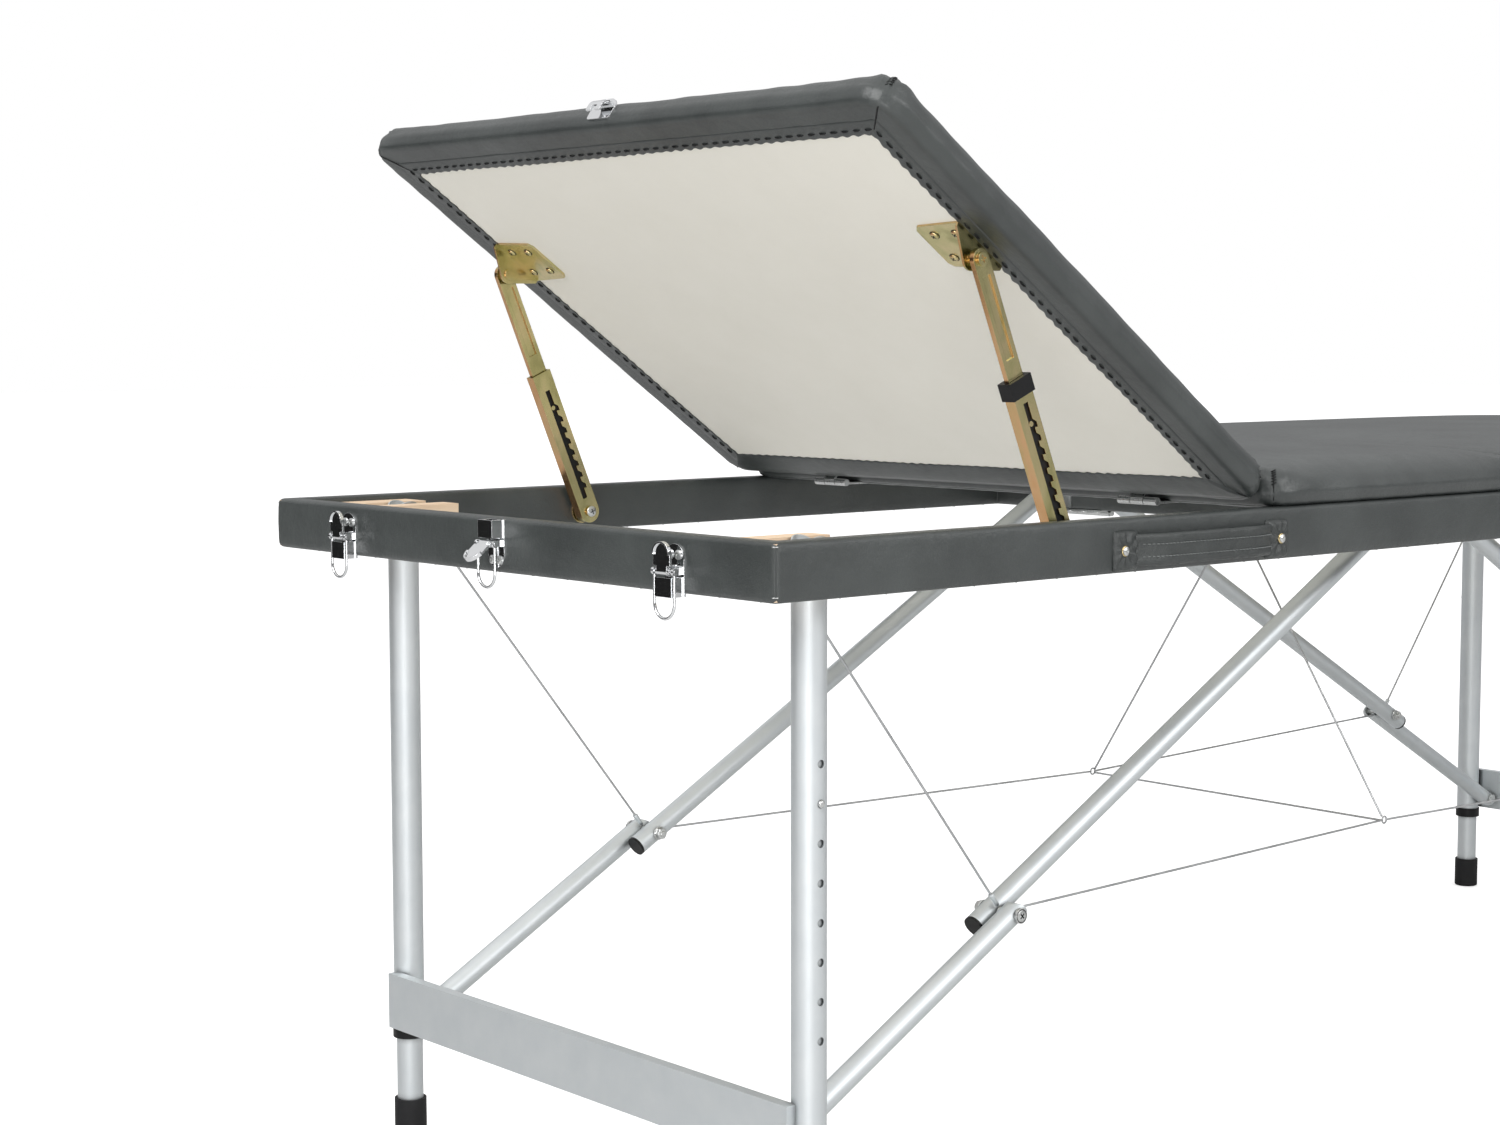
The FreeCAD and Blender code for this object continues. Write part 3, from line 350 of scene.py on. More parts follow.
def mesh_piece(name, points, faces, material, smooth=True):
    mesh = bpy.data.meshes.new(name)
    mesh.from_pydata([tuple(p) for p in points], [], [tuple(f) for f in faces])
    mesh.validate()
    mesh.materials.append(material)
    piece = put(name, mesh)
    if smooth:
        mesh.shade_smooth()
    repair = bmesh.new()
    repair.from_mesh(mesh)
    bmesh.ops.recalc_face_normals(repair, faces=repair.faces)
    repair.to_mesh(mesh)
    repair.free()
    return piece


def move_mesh(piece, matrix):
    piece.data.transform(matrix)
    piece.data.update()
    return piece


def loops_to_faces(count, rows, closed_rows=False):
    """Quads between loops of count points each, row after row."""
    faces = []
    last = rows if closed_rows else rows - 1
    for row in range(last):
        below, above = row * count, ((row + 1) % rows) * count
        for k in range(count):
            after = (k + 1) % count
            faces.append((below + k, below + after, above + after, above + k))
    return faces


def tube_faces(count, rows):
    """Quads between loops, and a flat face over each end."""
    ends = [tuple(range(count)), tuple((rows - 1) * count + k for k in range(count))]
    return loops_to_faces(count, rows) + ends


def spokes(axis, count, side=None):
    """Unit directions all round an axis, starting at side."""
    side = side or axis.orthogonal().normalized()
    other = axis.cross(side)
    angles = [2 * pi * k / count for k in range(count)]
    return [side * cos(angle) + other * sin(angle) for angle in angles]


def wrinkle(point, scale, seed):
    """Smooth noise between -1 and 1 at a place, scale in metres."""
    return noise.noise(Vector(point) / scale + Vector((seed, 3.1 * seed, 0)))


def solid_tube(name, path, radius, material, around=10, taper=None):
    """A closed round tube along a path, with flat ends. taper gives the radius share at each point."""
    points = [Vector(p) for p in path]
    rings = []
    side = None
    for k, point in enumerate(points):
        ahead = points[min(k + 1, len(points) - 1)] - points[max(k - 1, 0)]
        ahead.normalize()
        if side is None:
            side = ahead.orthogonal().normalized()
        side = (side - ahead * side.dot(ahead)).normalized()
        share = taper[k] if taper else 1.0
        rings += [point + spoke * radius * share for spoke in spokes(ahead, around, side)]
    return mesh_piece(name, rings, tube_faces(around, len(points)), material)


def join(name, parts):
    """Several pieces made one mesh, which keeps their materials."""
    with bpy.context.temp_override(
        active_object=parts[0], object=parts[0], selected_objects=parts, selected_editable_objects=parts
    ):
        bpy.ops.object.join()
    parts[0].name = name
    parts[0].data.name = name
    return parts[0]


# ---------------- pads
EDGE_DROP = 8 * MM
TOP_ROUND = 15 * MM
BOTTOM_ROUND = 7 * MM
PAD_CORNER = 24 * MM
PAD_STEP = 4.6 * MM
ARC_RINGS = 6
CROWN = 9 * MM
SIDE_BULGE = 1.2 * MM
STITCH_PITCH = 12.5 * MM
STITCH_LENGTH = 7.5 * MM
STITCH_INSET = 31.5 * MM
HEM_EDGE = 37.5 * MM
BOARD_PLAY = 0.3 * MM
CLOTH_FRAMES = 9
CLOTH = {
    "quality": 3,
    "mass": 0.3,
    "tension_stiffness": 25,
    "compression_stiffness": 25,
    "shear_stiffness": 8,
    "bending_stiffness": 1.5,
    "vertex_group_mass": "held",
    "use_pressure": True,
    "uniform_pressure_force": 3.0,
}


class PadPlan:
    """The plan of one pad: points on rounded rectangles set in from its outline."""

    def __init__(self, x0, x1, z0):
        self.middle = Vector(((x0 + x1) / 2, 0))
        self.half = Vector(((x1 - x0) / 2, SIDE))
        self.bottom = z0
        self.top = PAD_TOP - EDGE_DROP

    def place(self, share, inset, z):
        """share is (-1..1, -1..1) on the outline's square; inset is how far inside the outline."""
        span_x, span_y = self.half.x - inset, self.half.y - inset
        x, y = abs(share[0]) * span_x, abs(share[1]) * span_y
        corner = max(PAD_CORNER - inset, 0.5 * MM)
        core_x, core_y = span_x - corner, span_y - corner
        over_x, over_y = max(x - core_x, 0), max(y - core_y, 0)
        if over_x > 0 and over_y > 0:
            reach = max(over_x, over_y) / hypot(over_x, over_y)
            x, y = core_x + over_x * reach, core_y + over_y * reach
        x, y = copysign(x, share[0]), copysign(y, share[1])
        return Vector((self.middle.x + x, self.middle.y + y, z))

    def outline(self, step):
        """Shares all round the outline, about step apart."""
        count_x, count_y = (2 * round(reach / step) for reach in self.half)
        line_x, line_y = ([-1 + 2 * k / count for k in range(count)] for count in (count_x, count_y))
        ring = [(s, -1.0) for s in line_x] + [(1.0, s) for s in line_y]
        ring += [(-s, 1.0) for s in line_x] + [(-1.0, -s) for s in line_y]
        return ring, count_x, count_y


def pad_side_profile(plan):
    """(inset, height) from the underside, round the lower edge and up the bulging side."""
    rows = []
    for k in range(4):
        angle = radians(90 * k / 4)
        height = plan.bottom + BOTTOM_ROUND * (1 - cos(angle))
        rows.append((BOTTOM_ROUND * (1 - sin(angle)), height))
    low, high = plan.bottom + BOTTOM_ROUND, plan.top - TOP_ROUND
    for k in range(5):
        share = k / 5
        rows.append((-SIDE_BULGE * sin(pi * share), low + (high - low) * share))
    return rows


def crown_height(plan, point):
    x = (point.x - plan.middle.x) / plan.half.x
    y = point.y / plan.half.y
    return CROWN * (1 - x ** 4) * (1 - y ** 4)


def pad_mesh(name, plan):
    ring, count_x, count_y = plan.outline(PAD_STEP)
    count = len(ring)
    points = []
    for inset in (BOARD_MARGIN - 0.2 * MM, BOARD_MARGIN * 0.75, BOARD_MARGIN * 0.5):
        points += [plan.place(share, inset, plan.bottom) for share in ring]
    for inset, height in pad_side_profile(plan):
        points += [plan.place(share, inset, height) for share in ring]
    rows = len(points) // count
    pocket_height = plan.bottom + BOARD_THICKNESS + BOARD_PLAY
    pocket = [plan.place(share, BOARD_MARGIN - 0.2 * MM, pocket_height) for share in ring]
    start = len(points)
    rings_deep = min(count_x, count_y) // 2
    short_half = min(plan.half)
    index = {}
    for i in range(count_x + 1):
        for j in range(count_y + 1):
            k = min(i, count_x - i, j, count_y - j)
            if k <= ARC_RINGS:
                angle = radians(90 * k / ARC_RINGS)
                inset = TOP_ROUND * (1 - cos(angle))
                height = plan.top - TOP_ROUND * (1 - sin(angle))
            else:
                inset = TOP_ROUND + (k - ARC_RINGS) * (short_half - TOP_ROUND) / (rings_deep - ARC_RINGS)
                height = plan.top
            reach_x, reach_y = 1 - 2 * k / count_x, 1 - 2 * k / count_y
            share_x = (-1 + 2 * i / count_x) / reach_x if reach_x > 1e-6 else 0.0
            share_y = (-1 + 2 * j / count_y) / reach_y if reach_y > 1e-6 else 0.0
            point = plan.place((share_x, share_y), inset, height)
            point.z += crown_height(plan, point) * sin(radians(90 * min(k / ARC_RINGS, 1)))
            index[i, j] = start + len(index)
            points.append(point)
    faces = loops_to_faces(count, rows)
    for i in range(count_x):
        for j in range(count_y):
            faces.append((index[i, j], index[i + 1, j], index[i + 1, j + 1], index[i, j + 1]))
    rim = [index[i, 0] for i in range(count_x)] + [index[count_x, j] for j in range(count_y)]
    rim += [index[count_x - i, count_y] for i in range(count_x)]
    rim += [index[0, count_y - j] for j in range(count_y)]
    top_row = range((rows - 1) * count, rows * count)
    pocket_row = range(len(points), len(points) + count)
    points += pocket
    for low_row, high_row in ((top_row, rim), (range(count), pocket_row)):
        for k in range(count):
            after = (k + 1) % count
            faces.append((low_row[k], low_row[after], high_row[after], high_row[k]))
    faces.append(tuple(pocket_row))
    return mesh_piece(name, points, faces, MATERIALS["cushion_leather"])


def swell(piece, plan, cap):
    """Cloth under pressure: the cover fills out, held where it is stapled under the board."""
    rest = [vertex.co.copy() for vertex in piece.data.vertices]
    held = piece.vertex_groups.new(name="held")
    fixed = [v.index for v in piece.data.vertices if v.co.z < plan.bottom + BOTTOM_ROUND * 1.05]
    inner = plan.half - Vector((BOARD_MARGIN, BOARD_MARGIN))
    for k, place in enumerate(rest):
        inside = abs(place.x - plan.middle.x) < inner.x and abs(place.y) < inner.y
        if inside and place.z < plan.bottom + BOARD_THICKNESS + 1 * MM:
            fixed.append(k)
    held.add(sorted(set(fixed)), 1.0, "ADD")
    modifier = piece.modifiers.new("cloth", "CLOTH")
    for setting, value in CLOTH.items():
        setattr(modifier.settings, setting, value)
    modifier.settings.effector_weights.gravity = 0.0
    modifier.collision_settings.use_collision = False
    modifier.point_cache.frame_start = 1
    modifier.point_cache.frame_end = CLOTH_FRAMES + 3
    scene = bpy.context.scene
    for step in range(1, CLOTH_FRAMES + 1):
        scene.frame_set(step)
    settled = piece.evaluated_get(bpy.context.evaluated_depsgraph_get())
    places = [vertex.co.copy() for vertex in settled.data.vertices]
    piece.modifiers.remove(modifier)
    for vertex, before, after in zip(piece.data.vertices, rest, places):
        shift = after - before
        if shift.length > cap:
            shift *= cap / shift.length
        vertex.co = before + shift
    scene.frame_set(1)
    piece.data.update()


def crease_pad(piece, plan, seed):
    """Small folds in the leather: fanned at the corners, slanting along the edges, faint elsewhere."""
    normals = [vertex.normal.copy() for vertex in piece.data.vertices]
    for vertex, outward in zip(piece.data.vertices, normals):
        place = vertex.co
        dx = plan.half.x - abs(place.x - plan.middle.x)
        dy = plan.half.y - abs(place.y)
        edge = min(dx, dy)
        if edge > 90 * MM or place.z < plan.bottom + 1.5 * MM and edge > BOARD_MARGIN:
            depth = 0.0
        else:
            near = exp(-(edge / (30 * MM)) ** 2)
            along = place.x if dy < dx else place.y
            slant = Vector((along / (26 * MM), (place.z + edge) / (60 * MM), seed))
            depth = near * 0.8 * MM * noise.noise(slant)
            away = hypot(dx, dy)
            fan = atan2(dy + 1e-6, dx + 1e-6)
            folds = sin(fan * 15 + 3 * wrinkle(place, 30 * MM, seed))
            depth += 1.0 * MM * exp(-(away / (42 * MM)) ** 2) * folds
        depth += 0.3 * MM * wrinkle(place, 150 * MM, seed + 5)
        if place.z < plan.bottom + 1.5 * MM:
            depth = min(max(depth, 0.0), 0.3 * MM)
        vertex.co = place - outward * depth
    piece.data.update()


def hem_wave(distance, seed):
    """How far the turned-under edge wanders in and out, with a pucker at each stitch."""
    pucker = cos(2 * pi * distance / STITCH_PITCH)
    strength = 0.15 + 1.3 * abs(noise.noise(Vector((distance / 0.07, seed, 0))))
    slow = noise.noise(Vector((distance / 0.16, seed + 9, 0)))
    return 1.3 * MM * pucker * strength + 2.2 * MM * slow


def outline_distances(plan, ring, inset):
    places = [plan.place(share, inset, 0) for share in ring]
    total, distances = 0.0, []
    for k, place in enumerate(places):
        distances.append(total)
        total += (places[(k + 1) % len(places)] - place).length
    return distances, total


def pad_hem(name, plan, seed, bare_side):
    """The leather's turned-under edge: a thin strip over the board's edge, wavy on its inner side."""
    ring = plan.outline(2.2 * MM)[0]
    distances = outline_distances(plan, ring, STITCH_INSET)[0]
    thick = 0.7 * MM
    rows = []
    for share in (0.0, 0.15, 0.3, 0.45, 0.6, 0.72, 0.84, 0.94, 1.0):
        row = []
        for place_share, distance in zip(ring, distances):
            at_hinge = bare_side is not None and place_share[0] * bare_side > 0.999
            start = 7 * MM if at_hinge else 22 * MM
            edge = HEM_EDGE + hem_wave(distance, seed) * (0.6 if at_hinge else 1.0)
            inset = start + (edge - start) * share
            pull = 0.35 * MM * share * (1 + cos(2 * pi * distance / STITCH_PITCH)) / 2
            at_seam = exp(-((inset - STITCH_INSET) / (1.6 * MM)) ** 2)
            drop = thick * min(1.0, 0.15 + 2 * share) + pull - 0.35 * MM * at_seam
            if at_hinge:
                slant = Vector((distance / (15 * MM) + share * 2.2, share * 0.8, seed))
                drop = thick * min(1.0, 0.15 + 2 * share) + 1.5 * MM * sin(pi * share) ** 0.6
                drop += 0.9 * MM * abs(noise.noise(slant)) * sin(pi * share)
            row.append(plan.place(place_share, inset, plan.bottom - drop))
        rows.append(row)
    insets = [HEM_EDGE + hem_wave(distance, seed) for distance in distances]
    last = [plan.place(share, inset, plan.bottom + BOARD_PLAY) for share, inset in zip(ring, insets)]
    first = [place + Vector((0, 0, 0.8 * MM)) for place in rows[0]]
    points = [p for row in [first] + rows + [last] for p in row]
    faces = loops_to_faces(len(ring), len(rows) + 2, closed_rows=True)
    return mesh_piece(name, points, faces, MATERIALS["cushion_leather"])


def stitch(start, end, lift, radius=0.75 * MM):
    """One long stitch: a thread that rises between two holes."""
    middle = (start + end) / 2 + lift * 0.8 * MM
    path = [start - lift * 0.5 * MM, start.lerp(middle, 0.5) + lift * 0.3 * MM, middle]
    path += [end.lerp(middle, 0.5) + lift * 0.3 * MM, end - lift * 0.5 * MM]
    return path, radius


def stitches(name, runs, material=THREAD_AND_SHADE):
    """Many stitches as one mesh of small closed tubes."""
    points, faces = [], []
    around = 6
    for path, radius in runs:
        base = len(points)
        ring = spokes((path[-1] - path[0]).normalized(), around)
        points += [place + spoke * radius for place in path for spoke in ring]
        faces += [tuple(base + k for k in face) for face in tube_faces(around, len(path))]
    return mesh_piece(name, points, faces, material)


def hem_stitches(name, plan, bare_side=None):
    ring = plan.outline(1.0 * MM)[0]
    distances, total = outline_distances(plan, ring, STITCH_INSET)
    count = int(total / STITCH_PITCH)
    down = Vector((0, 0, -1))
    runs = []
    for number in range(count):
        centre = (number + 0.5) * total / count
        ends = []
        for shift in (-STITCH_LENGTH / 2, STITCH_LENGTH / 2):
            k = min(range(len(ring)), key=lambda n: abs(distances[n] - centre - shift))
            ends.append(plan.place(ring[k], STITCH_INSET, plan.bottom - 0.55 * MM))
        at_hinge = bare_side and bare_side * (ends[0].x - plan.middle.x) > plan.half.x - STITCH_INSET - 1 * MM
        if (ends[1] - ends[0]).length > 2 * MM and not at_hinge:
            runs.append(stitch(ends[0], ends[1], down))
    return stitches(name, runs)


def corner_seams(name, plan):
    """At each corner: a seam down the side and a closed mitre under it, crossed by short stitches."""
    profile = []
    for turn in (radians(a) for a in (60, 40, 20, 0)):
        profile.append((TOP_ROUND * (1 - cos(turn)), plan.top - TOP_ROUND * (1 - sin(turn))))
    profile.append((-SIDE_BULGE * 0.6, (plan.bottom + plan.top) / 2 - 3 * MM))
    for turn in (radians(a) for a in (80, 45, 10)):
        profile.append((BOTTOM_ROUND * (1 - sin(turn)), plan.bottom + BOTTOM_ROUND * (1 - cos(turn))))
    profile += [(STITCH_INSET * 0.5, plan.bottom - 0.1 * MM), (STITCH_INSET, plan.bottom - 0.6 * MM)]
    parts, runs = [], []
    for corner in ((-1, -1), (-1, 1), (1, -1), (1, 1)):
        path = [plan.place(corner, inset, height) for inset, height in profile]
        outward = Vector((*corner, 0)).normalized()
        across = Vector((-corner[1], corner[0], 0)).normalized()
        half = (across + Vector((0, 0, 0.5))).normalized() * 2.6 * MM
        parts.append(solid_tube(name, path, 0.65 * MM, THREAD_AND_SHADE, 8))
        for k in range(6):
            place = path[k // 2].lerp(path[k // 2 + 1], (k % 2) / 2)
            runs.append(stitch(place - half, place + half, outward, 0.5 * MM))
    parts.append(stitches(name, runs))
    return join(name, parts)


def make_pad(node, body, x0, x1, z0, seed, bare_side=None, matrix=None):
    plan = PadPlan(x0, x1, z0)
    cover = pad_mesh(f"{node}_cover", plan)
    swell(cover, plan, 3.5 * MM)
    crease_pad(cover, plan, seed)
    pieces = [
        cover,
        pad_hem(f"{node}_hem", plan, seed, bare_side),
        hem_stitches(f"{node}_stitches", plan, bare_side),
        corner_seams(f"{node}_corner_seams", plan),
    ]
    for piece in pieces:
        if matrix is not None:
            move_mesh(piece, matrix)
        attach(piece, body)
    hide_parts(node)


def make_pads():
    seat_low, seat_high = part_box("seat_pad")
    foot_low, foot_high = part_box("foot_pad")
    make_pad("seat_pad", "head_frame", seat_low.x, seat_high.x, seat_low.z, 1.7, -1)
    make_pad("foot_pad", "foot_frame", foot_low.x, foot_high.x, foot_low.z, 4.2)
    flat_x = (-HALF_LENGTH, HINGE.x - BACKREST_GAP)
    make_pad("backrest_pad", "backrest", *flat_x, FRAME_TOP + BACKREST_LIFT, 8.3, 1, LIFT_BACKREST)


# ---------------- rail covers
EDGE_ROUND = 3.8 * MM
COVER_STEP = 6.5 * MM
SEAM_DEPTH = 1.1 * MM


def rail_profile():
    """(across, height) round a rail's section, from 0 at the inner face to 1 at the outer face."""
    bend = EDGE_ROUND / RAIL
    top, bottom = FRAME_TOP - EDGE_ROUND, FRAME_BOTTOM + EDGE_ROUND
    arcs = []
    for k, (across, height) in enumerate([(1 - bend, top), (bend, top), (bend, bottom), (1 - bend, bottom)]):
        angles = [radians(90 * k + 30 * n) for n in range(4)]
        arcs.append([(across + cos(a) * bend, height + sin(a) * EDGE_ROUND) for a in angles])
    points = []
    for k, (arc, fill) in enumerate(zip(arcs, (3, 7, 3, 7))):
        following = arcs[(k + 1) % 4][0]
        shares = [n / (fill + 1) for n in range(1, fill + 1)]
        points += arc + [tuple(a + (b - a) * share for a, b in zip(arc[-1], following)) for share in shares]
    return points


def stops_along(length):
    """Distances along one side, closer together near its ends."""
    near = [0.0, 1.0 * MM, 2.0 * MM, 3.5 * MM, 6 * MM, 10 * MM]
    inner = length - 2 * near[-1]
    count = max(2, round(inner / COVER_STEP))
    middle = [near[-1] + inner * k / count for k in range(count + 1)]
    return near[:-1] + middle + [length - d for d in reversed(near[:-1])]


def cover_ring(x0, x1):
    """Pairs of inner and outer plan points round one half frame, with the distance to a corner."""

    def corners(inset):
        low_x, high_x, side = x0 + inset, x1 - inset, SIDE - inset
        return [Vector(corner) for corner in ((low_x, -side), (high_x, -side), (high_x, side), (low_x, side))]

    outer, inner = corners(0.0), corners(RAIL)
    ring = []
    for k in range(4):
        a, b = outer[k], outer[(k + 1) % 4]
        c, d = inner[k], inner[(k + 1) % 4]
        length = (b - a).length
        for stop in stops_along(length)[:-1]:
            share = stop / length
            ring.append((c.lerp(d, share), a.lerp(b, share), min(stop, length - stop), stop))
    return ring


def soften_corner(outer, inner, to_corner):
    """Pulls the outline in at a corner, so the outer edge is rounded."""
    radius = 3.5 * MM
    if to_corner >= radius:
        return outer
    pull = (radius - to_corner) * 0.35
    return outer + (inner - outer).normalized() * pull


def make_cover(half, sign):
    low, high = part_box(f"{half}_frame_cover")
    ring = cover_ring(low.x, high.x)
    profile = rail_profile()
    seed = 2.0 + sign
    points = []
    for inner, outer, to_corner, along in ring:
        rounded = soften_corner(outer, inner, to_corner)
        for across, height in profile:
            plan = inner.lerp(rounded, across)
            place = Vector((plan.x, plan.y, height))
            outward = (outer - inner).normalized()
            puff = 0.9 * MM * sin(pi * (height - FRAME_BOTTOM) / (FRAME_TOP - FRAME_BOTTOM))
            loose = 0.45 * MM * wrinkle((place.x, place.y, place.z * 2.2), 30 * MM, seed)
            level = Vector((place.x, place.y, 0))
            folds = sin(height / (1.45 * MM) + 5 * wrinkle(level, 24 * MM, seed + 2))
            at_corner = exp(-(to_corner / (34 * MM)) ** 2) * min(1.0, to_corner / (4 * MM))
            depth = -puff - loose - 0.35 * MM * at_corner * folds
            if across > 0.5 and 0 < along < 3 * MM:
                depth += SEAM_DEPTH * (1 - abs(along - 1.5 * MM) / (1.5 * MM))
            side = outward if across > 0.5 else -outward
            reach = abs(across - 0.5) * 2
            points.append(place - Vector((side.x, side.y, 0)) * depth * reach)
    count = len(profile)
    faces = loops_to_faces(count, len(ring), closed_rows=True)
    cover = mesh_piece(f"{half}_rail_leather", points, faces, MATERIALS["frame_leather"])
    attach(cover, f"{half}_frame")
    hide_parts(f"{half}_frame_cover")


def staple(centre, along, outward, width=7 * MM):
    wire = 0.45 * MM
    half = along.normalized() * width / 2
    lift = outward.normalized() * wire * 0.6
    sink = outward.normalized() * -1.2 * MM
    path = [centre - half + sink, centre - half + lift, centre + half + lift, centre + half + sink]
    return path, wire


def make_staples(half):
    """Staples across the corner seams and along the seam under the rails."""
    runs = []
    low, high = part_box(f"{half}_frame_cover")
    for x, outward_x in ((low.x, -1), (high.x, 1)):
        for y, outward_y in ((-SIDE, -1), (SIDE, 1)):
            outward = Vector((outward_x, outward_y, 0)).normalized()
            across = Vector((outward_y, -outward_x, 0.0))
            corner = Vector((x - outward_x * 1.3 * MM, y - outward_y * 1.3 * MM, 0))
            for z in (FRAME_TOP - 3.5 * MM, FRAME_BOTTOM + 4.5 * MM):
                runs.append(staple(corner + Vector((0, 0, z)), across, outward, 4.5 * MM))
    pitch = 46 * MM
    under = []
    for y in (-SIDE + RAIL / 2, SIDE - RAIL / 2):
        count = int((high.x - low.x) / pitch)
        under += [(low.x + (k + 0.5) * pitch, y, (0.4, 1, 0)) for k in range(count)]
    for x in (low.x + RAIL / 2, high.x - RAIL / 2):
        count = int(2 * SIDE / pitch)
        under += [(x, -SIDE + (k + 0.5) * pitch, (1, 0.4, 0)) for k in range(count)]
    for x, y, along in under:
        runs.append(staple(Vector((x, y, FRAME_BOTTOM)), Vector(along), Vector((0, 0, -1))))
    piece = stitches(f"{half}_staples", runs, MATERIALS["zinc_steel"])
    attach(piece, f"{half}_frame")


# ---------------- carry handles
STRAP_HEIGHT = 26 * MM
STRAP_LOW, STRAP_RISE = 2.8 * MM, 8.0 * MM
TAB_LENGTH = 29 * MM


def strap_section():
    """(out, up) round the strap's section: rolled upper and lower edges, thinner between."""
    rows = []
    for k in range(24):
        angle = 2 * pi * k / 24
        up = copysign(abs(sin(angle)) ** 0.8, sin(angle)) * STRAP_HEIGHT / 2
        edge = abs(up) / (STRAP_HEIGHT / 2)
        thick = 1.6 * MM + 1.9 * MM * exp(-((edge - 0.82) / 0.15) ** 2)
        rows.append((cos(angle) * thick * (1.0 if edge < 0.98 else 0.8), up))
    return rows


def strap_out(share):
    """How far the strap's middle line stands off the rail: it rises over each end's first fifth."""
    return STRAP_LOW + STRAP_RISE * sin(pi * min(share, 1 - share, 0.2) / 0.4)


def make_handle(half, sign):
    low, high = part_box(f"{half}_handle")
    wall = -SIDE
    z = (low.z + high.z) / 2
    start, end = low.x + TAB_LENGTH - 5 * MM, high.x - TAB_LENGTH + 5 * MM
    section = strap_section()
    steps = 70
    points = []
    for n in range(steps + 1):
        share = n / steps
        out = strap_out(share)
        x = start + (end - start) * share
        for push, up in section:
            ripple = 0.7 * MM * wrinkle((x, up * 0.6, 0), 7 * MM, 3 + sign)
            points.append(Vector((x, wall - out - push - ripple, z + up)))
    faces = tube_faces(len(section), steps + 1)
    pieces = [mesh_piece(f"{half}_handle_strap", points, faces, MATERIALS["handle_leather"])]
    for x0, inward in ((low.x, 1), (high.x, -1)):
        pieces.append(handle_tab(f"{half}_handle_tab", x0, inward, wall, low.z, high.z, sign))
    runs = []
    out_side = Vector((0, -1, 0))
    pitch = 4.2 * MM
    for up in (-5.5 * MM, 4.5 * MM):
        for k in range(int((end - start - 8 * MM) / pitch)):
            x = start + 6 * MM + k * pitch
            y = wall - strap_out((x - start) / (end - start)) - 1.75 * MM
            first, last = Vector((x, y, z + up)), Vector((x + 2.8 * MM, y, z + up))
            runs.append(stitch(first, last, out_side, 0.45 * MM))
    thread = stitches(f"{half}_handle_stitches", runs, GREY_THREAD)
    handle_piece = join(f"{half}_handle_leather", pieces)
    for piece in (handle_piece, thread):
        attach(piece, f"{half}_frame")
    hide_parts(f"{half}_handle")
    make_handle_washers(half, low, high, wall)


def handle_tab(name, x0, inward, wall, z0, z1, seed):
    """A folded leather end under its screw: puffed edges, dished at the screw, creased toward the strap."""
    centre_x, centre_z = x0 + inward * TAB_LENGTH / 2, (z0 + z1) / 2
    half_x, half_z = TAB_LENGTH / 2, (z1 - z0) / 2
    screw_x, screw_z = x0 + inward * HANDLE_SCREW_IN, HANDLE_SCREW_Z
    columns, rows = 18, 20
    front, back = [], []
    for u in (-1 + 2 * i / columns for i in range(columns + 1)):
        for v in (-1 + 2 * j / rows for j in range(rows + 1)):
            squeeze = 1 - 0.05 * (u * u * v * v)
            x, z = centre_x + u * half_x * squeeze, centre_z + v * half_z * squeeze
            edge = (1 - u ** 6) * (1 - v ** 6)
            away = hypot(x - screw_x, z - screw_z)
            fan = atan2(z - screw_z, x - screw_x)
            out = 1.2 * MM + 3.6 * MM * edge ** 0.5 - 1.1 * MM * exp(-(away / (5.5 * MM)) ** 2)
            out += 0.8 * MM * sin(fan * 9 + seed) * min(1, away / (8 * MM)) * edge
            out += 1.1 * MM * wrinkle((x, 0, z), 5.0 * MM, seed + 4) * edge
            front.append(Vector((x, wall - out, z)))
            back.append(Vector((x, wall - 0.05 * MM, z)))
    size, shift = rows + 1, len(front)
    faces = []
    for a in (i * size + j for i in range(columns) for j in range(rows)):
        quad = (a, a + 1, a + size + 1, a + size)
        faces += [quad, tuple(k + shift for k in reversed(quad))]
    rim = [i * size for i in range(columns + 1)] + [columns * size + j for j in range(1, rows + 1)]
    rim += [i * size + rows for i in range(columns - 1, -1, -1)] + list(range(rows - 1, 0, -1))
    faces += [(a, b, b + shift, a + shift) for a, b in zip(rim, rim[1:] + rim[:1])]
    return mesh_piece(name, front + back, faces, MATERIALS["handle_leather"])


def in_mm(*profile):
    """A turned profile given in millimetres."""
    return [(radius * MM, distance * MM) for radius, distance in profile]


def lathe(name, centre, axis, profile, material, around=24):
    """A closed turned piece with flat ends: profile is (radius, distance along the axis) pairs."""
    axis = Vector(axis).normalized()
    ring = spokes(axis, around)
    points = []
    for radius, distance in profile:
        points += [Vector(centre) + axis * distance + spoke * radius for spoke in ring]
    return mesh_piece(name, points, tube_faces(around, len(profile)), material)


def make_handle_washers(half, low, high, wall):
    """A cup washer under each handle screw."""
    profile = in_mm((3.4, 0), (4.3, 0), (4.5, 0.3), (4.3, 0.6), (3.9, 1.0), (3.4, 1.1))
    parts = []
    for x in (low.x + HANDLE_SCREW_IN, high.x - HANDLE_SCREW_IN):
        centre = (x, wall - 4.2 * MM, HANDLE_SCREW_Z)
        parts.append(lathe("cup", centre, (0, -1, 0), profile, BRASS))
    washers = join(f"{half}_handle_washers", parts)
    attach(washers, f"{half}_frame")


# ---------------- stay cables
CABLE_RADIUS = 1.15 * MM
CABLE_Y = 237.3 * MM
JUNCTION = Vector((0.0, 192.0 * MM, 257.0 * MM))
KNEE_EYE = 6 * MM
LEG_EYE = Vector((-LEG_X - 16.2 * MM, CABLE_Y, 549 * MM))
CENTRE_EYE = Vector((0.0, 9 * MM, 537 * MM))
LAY_LENGTH = 14 * MM
STRANDS = 6


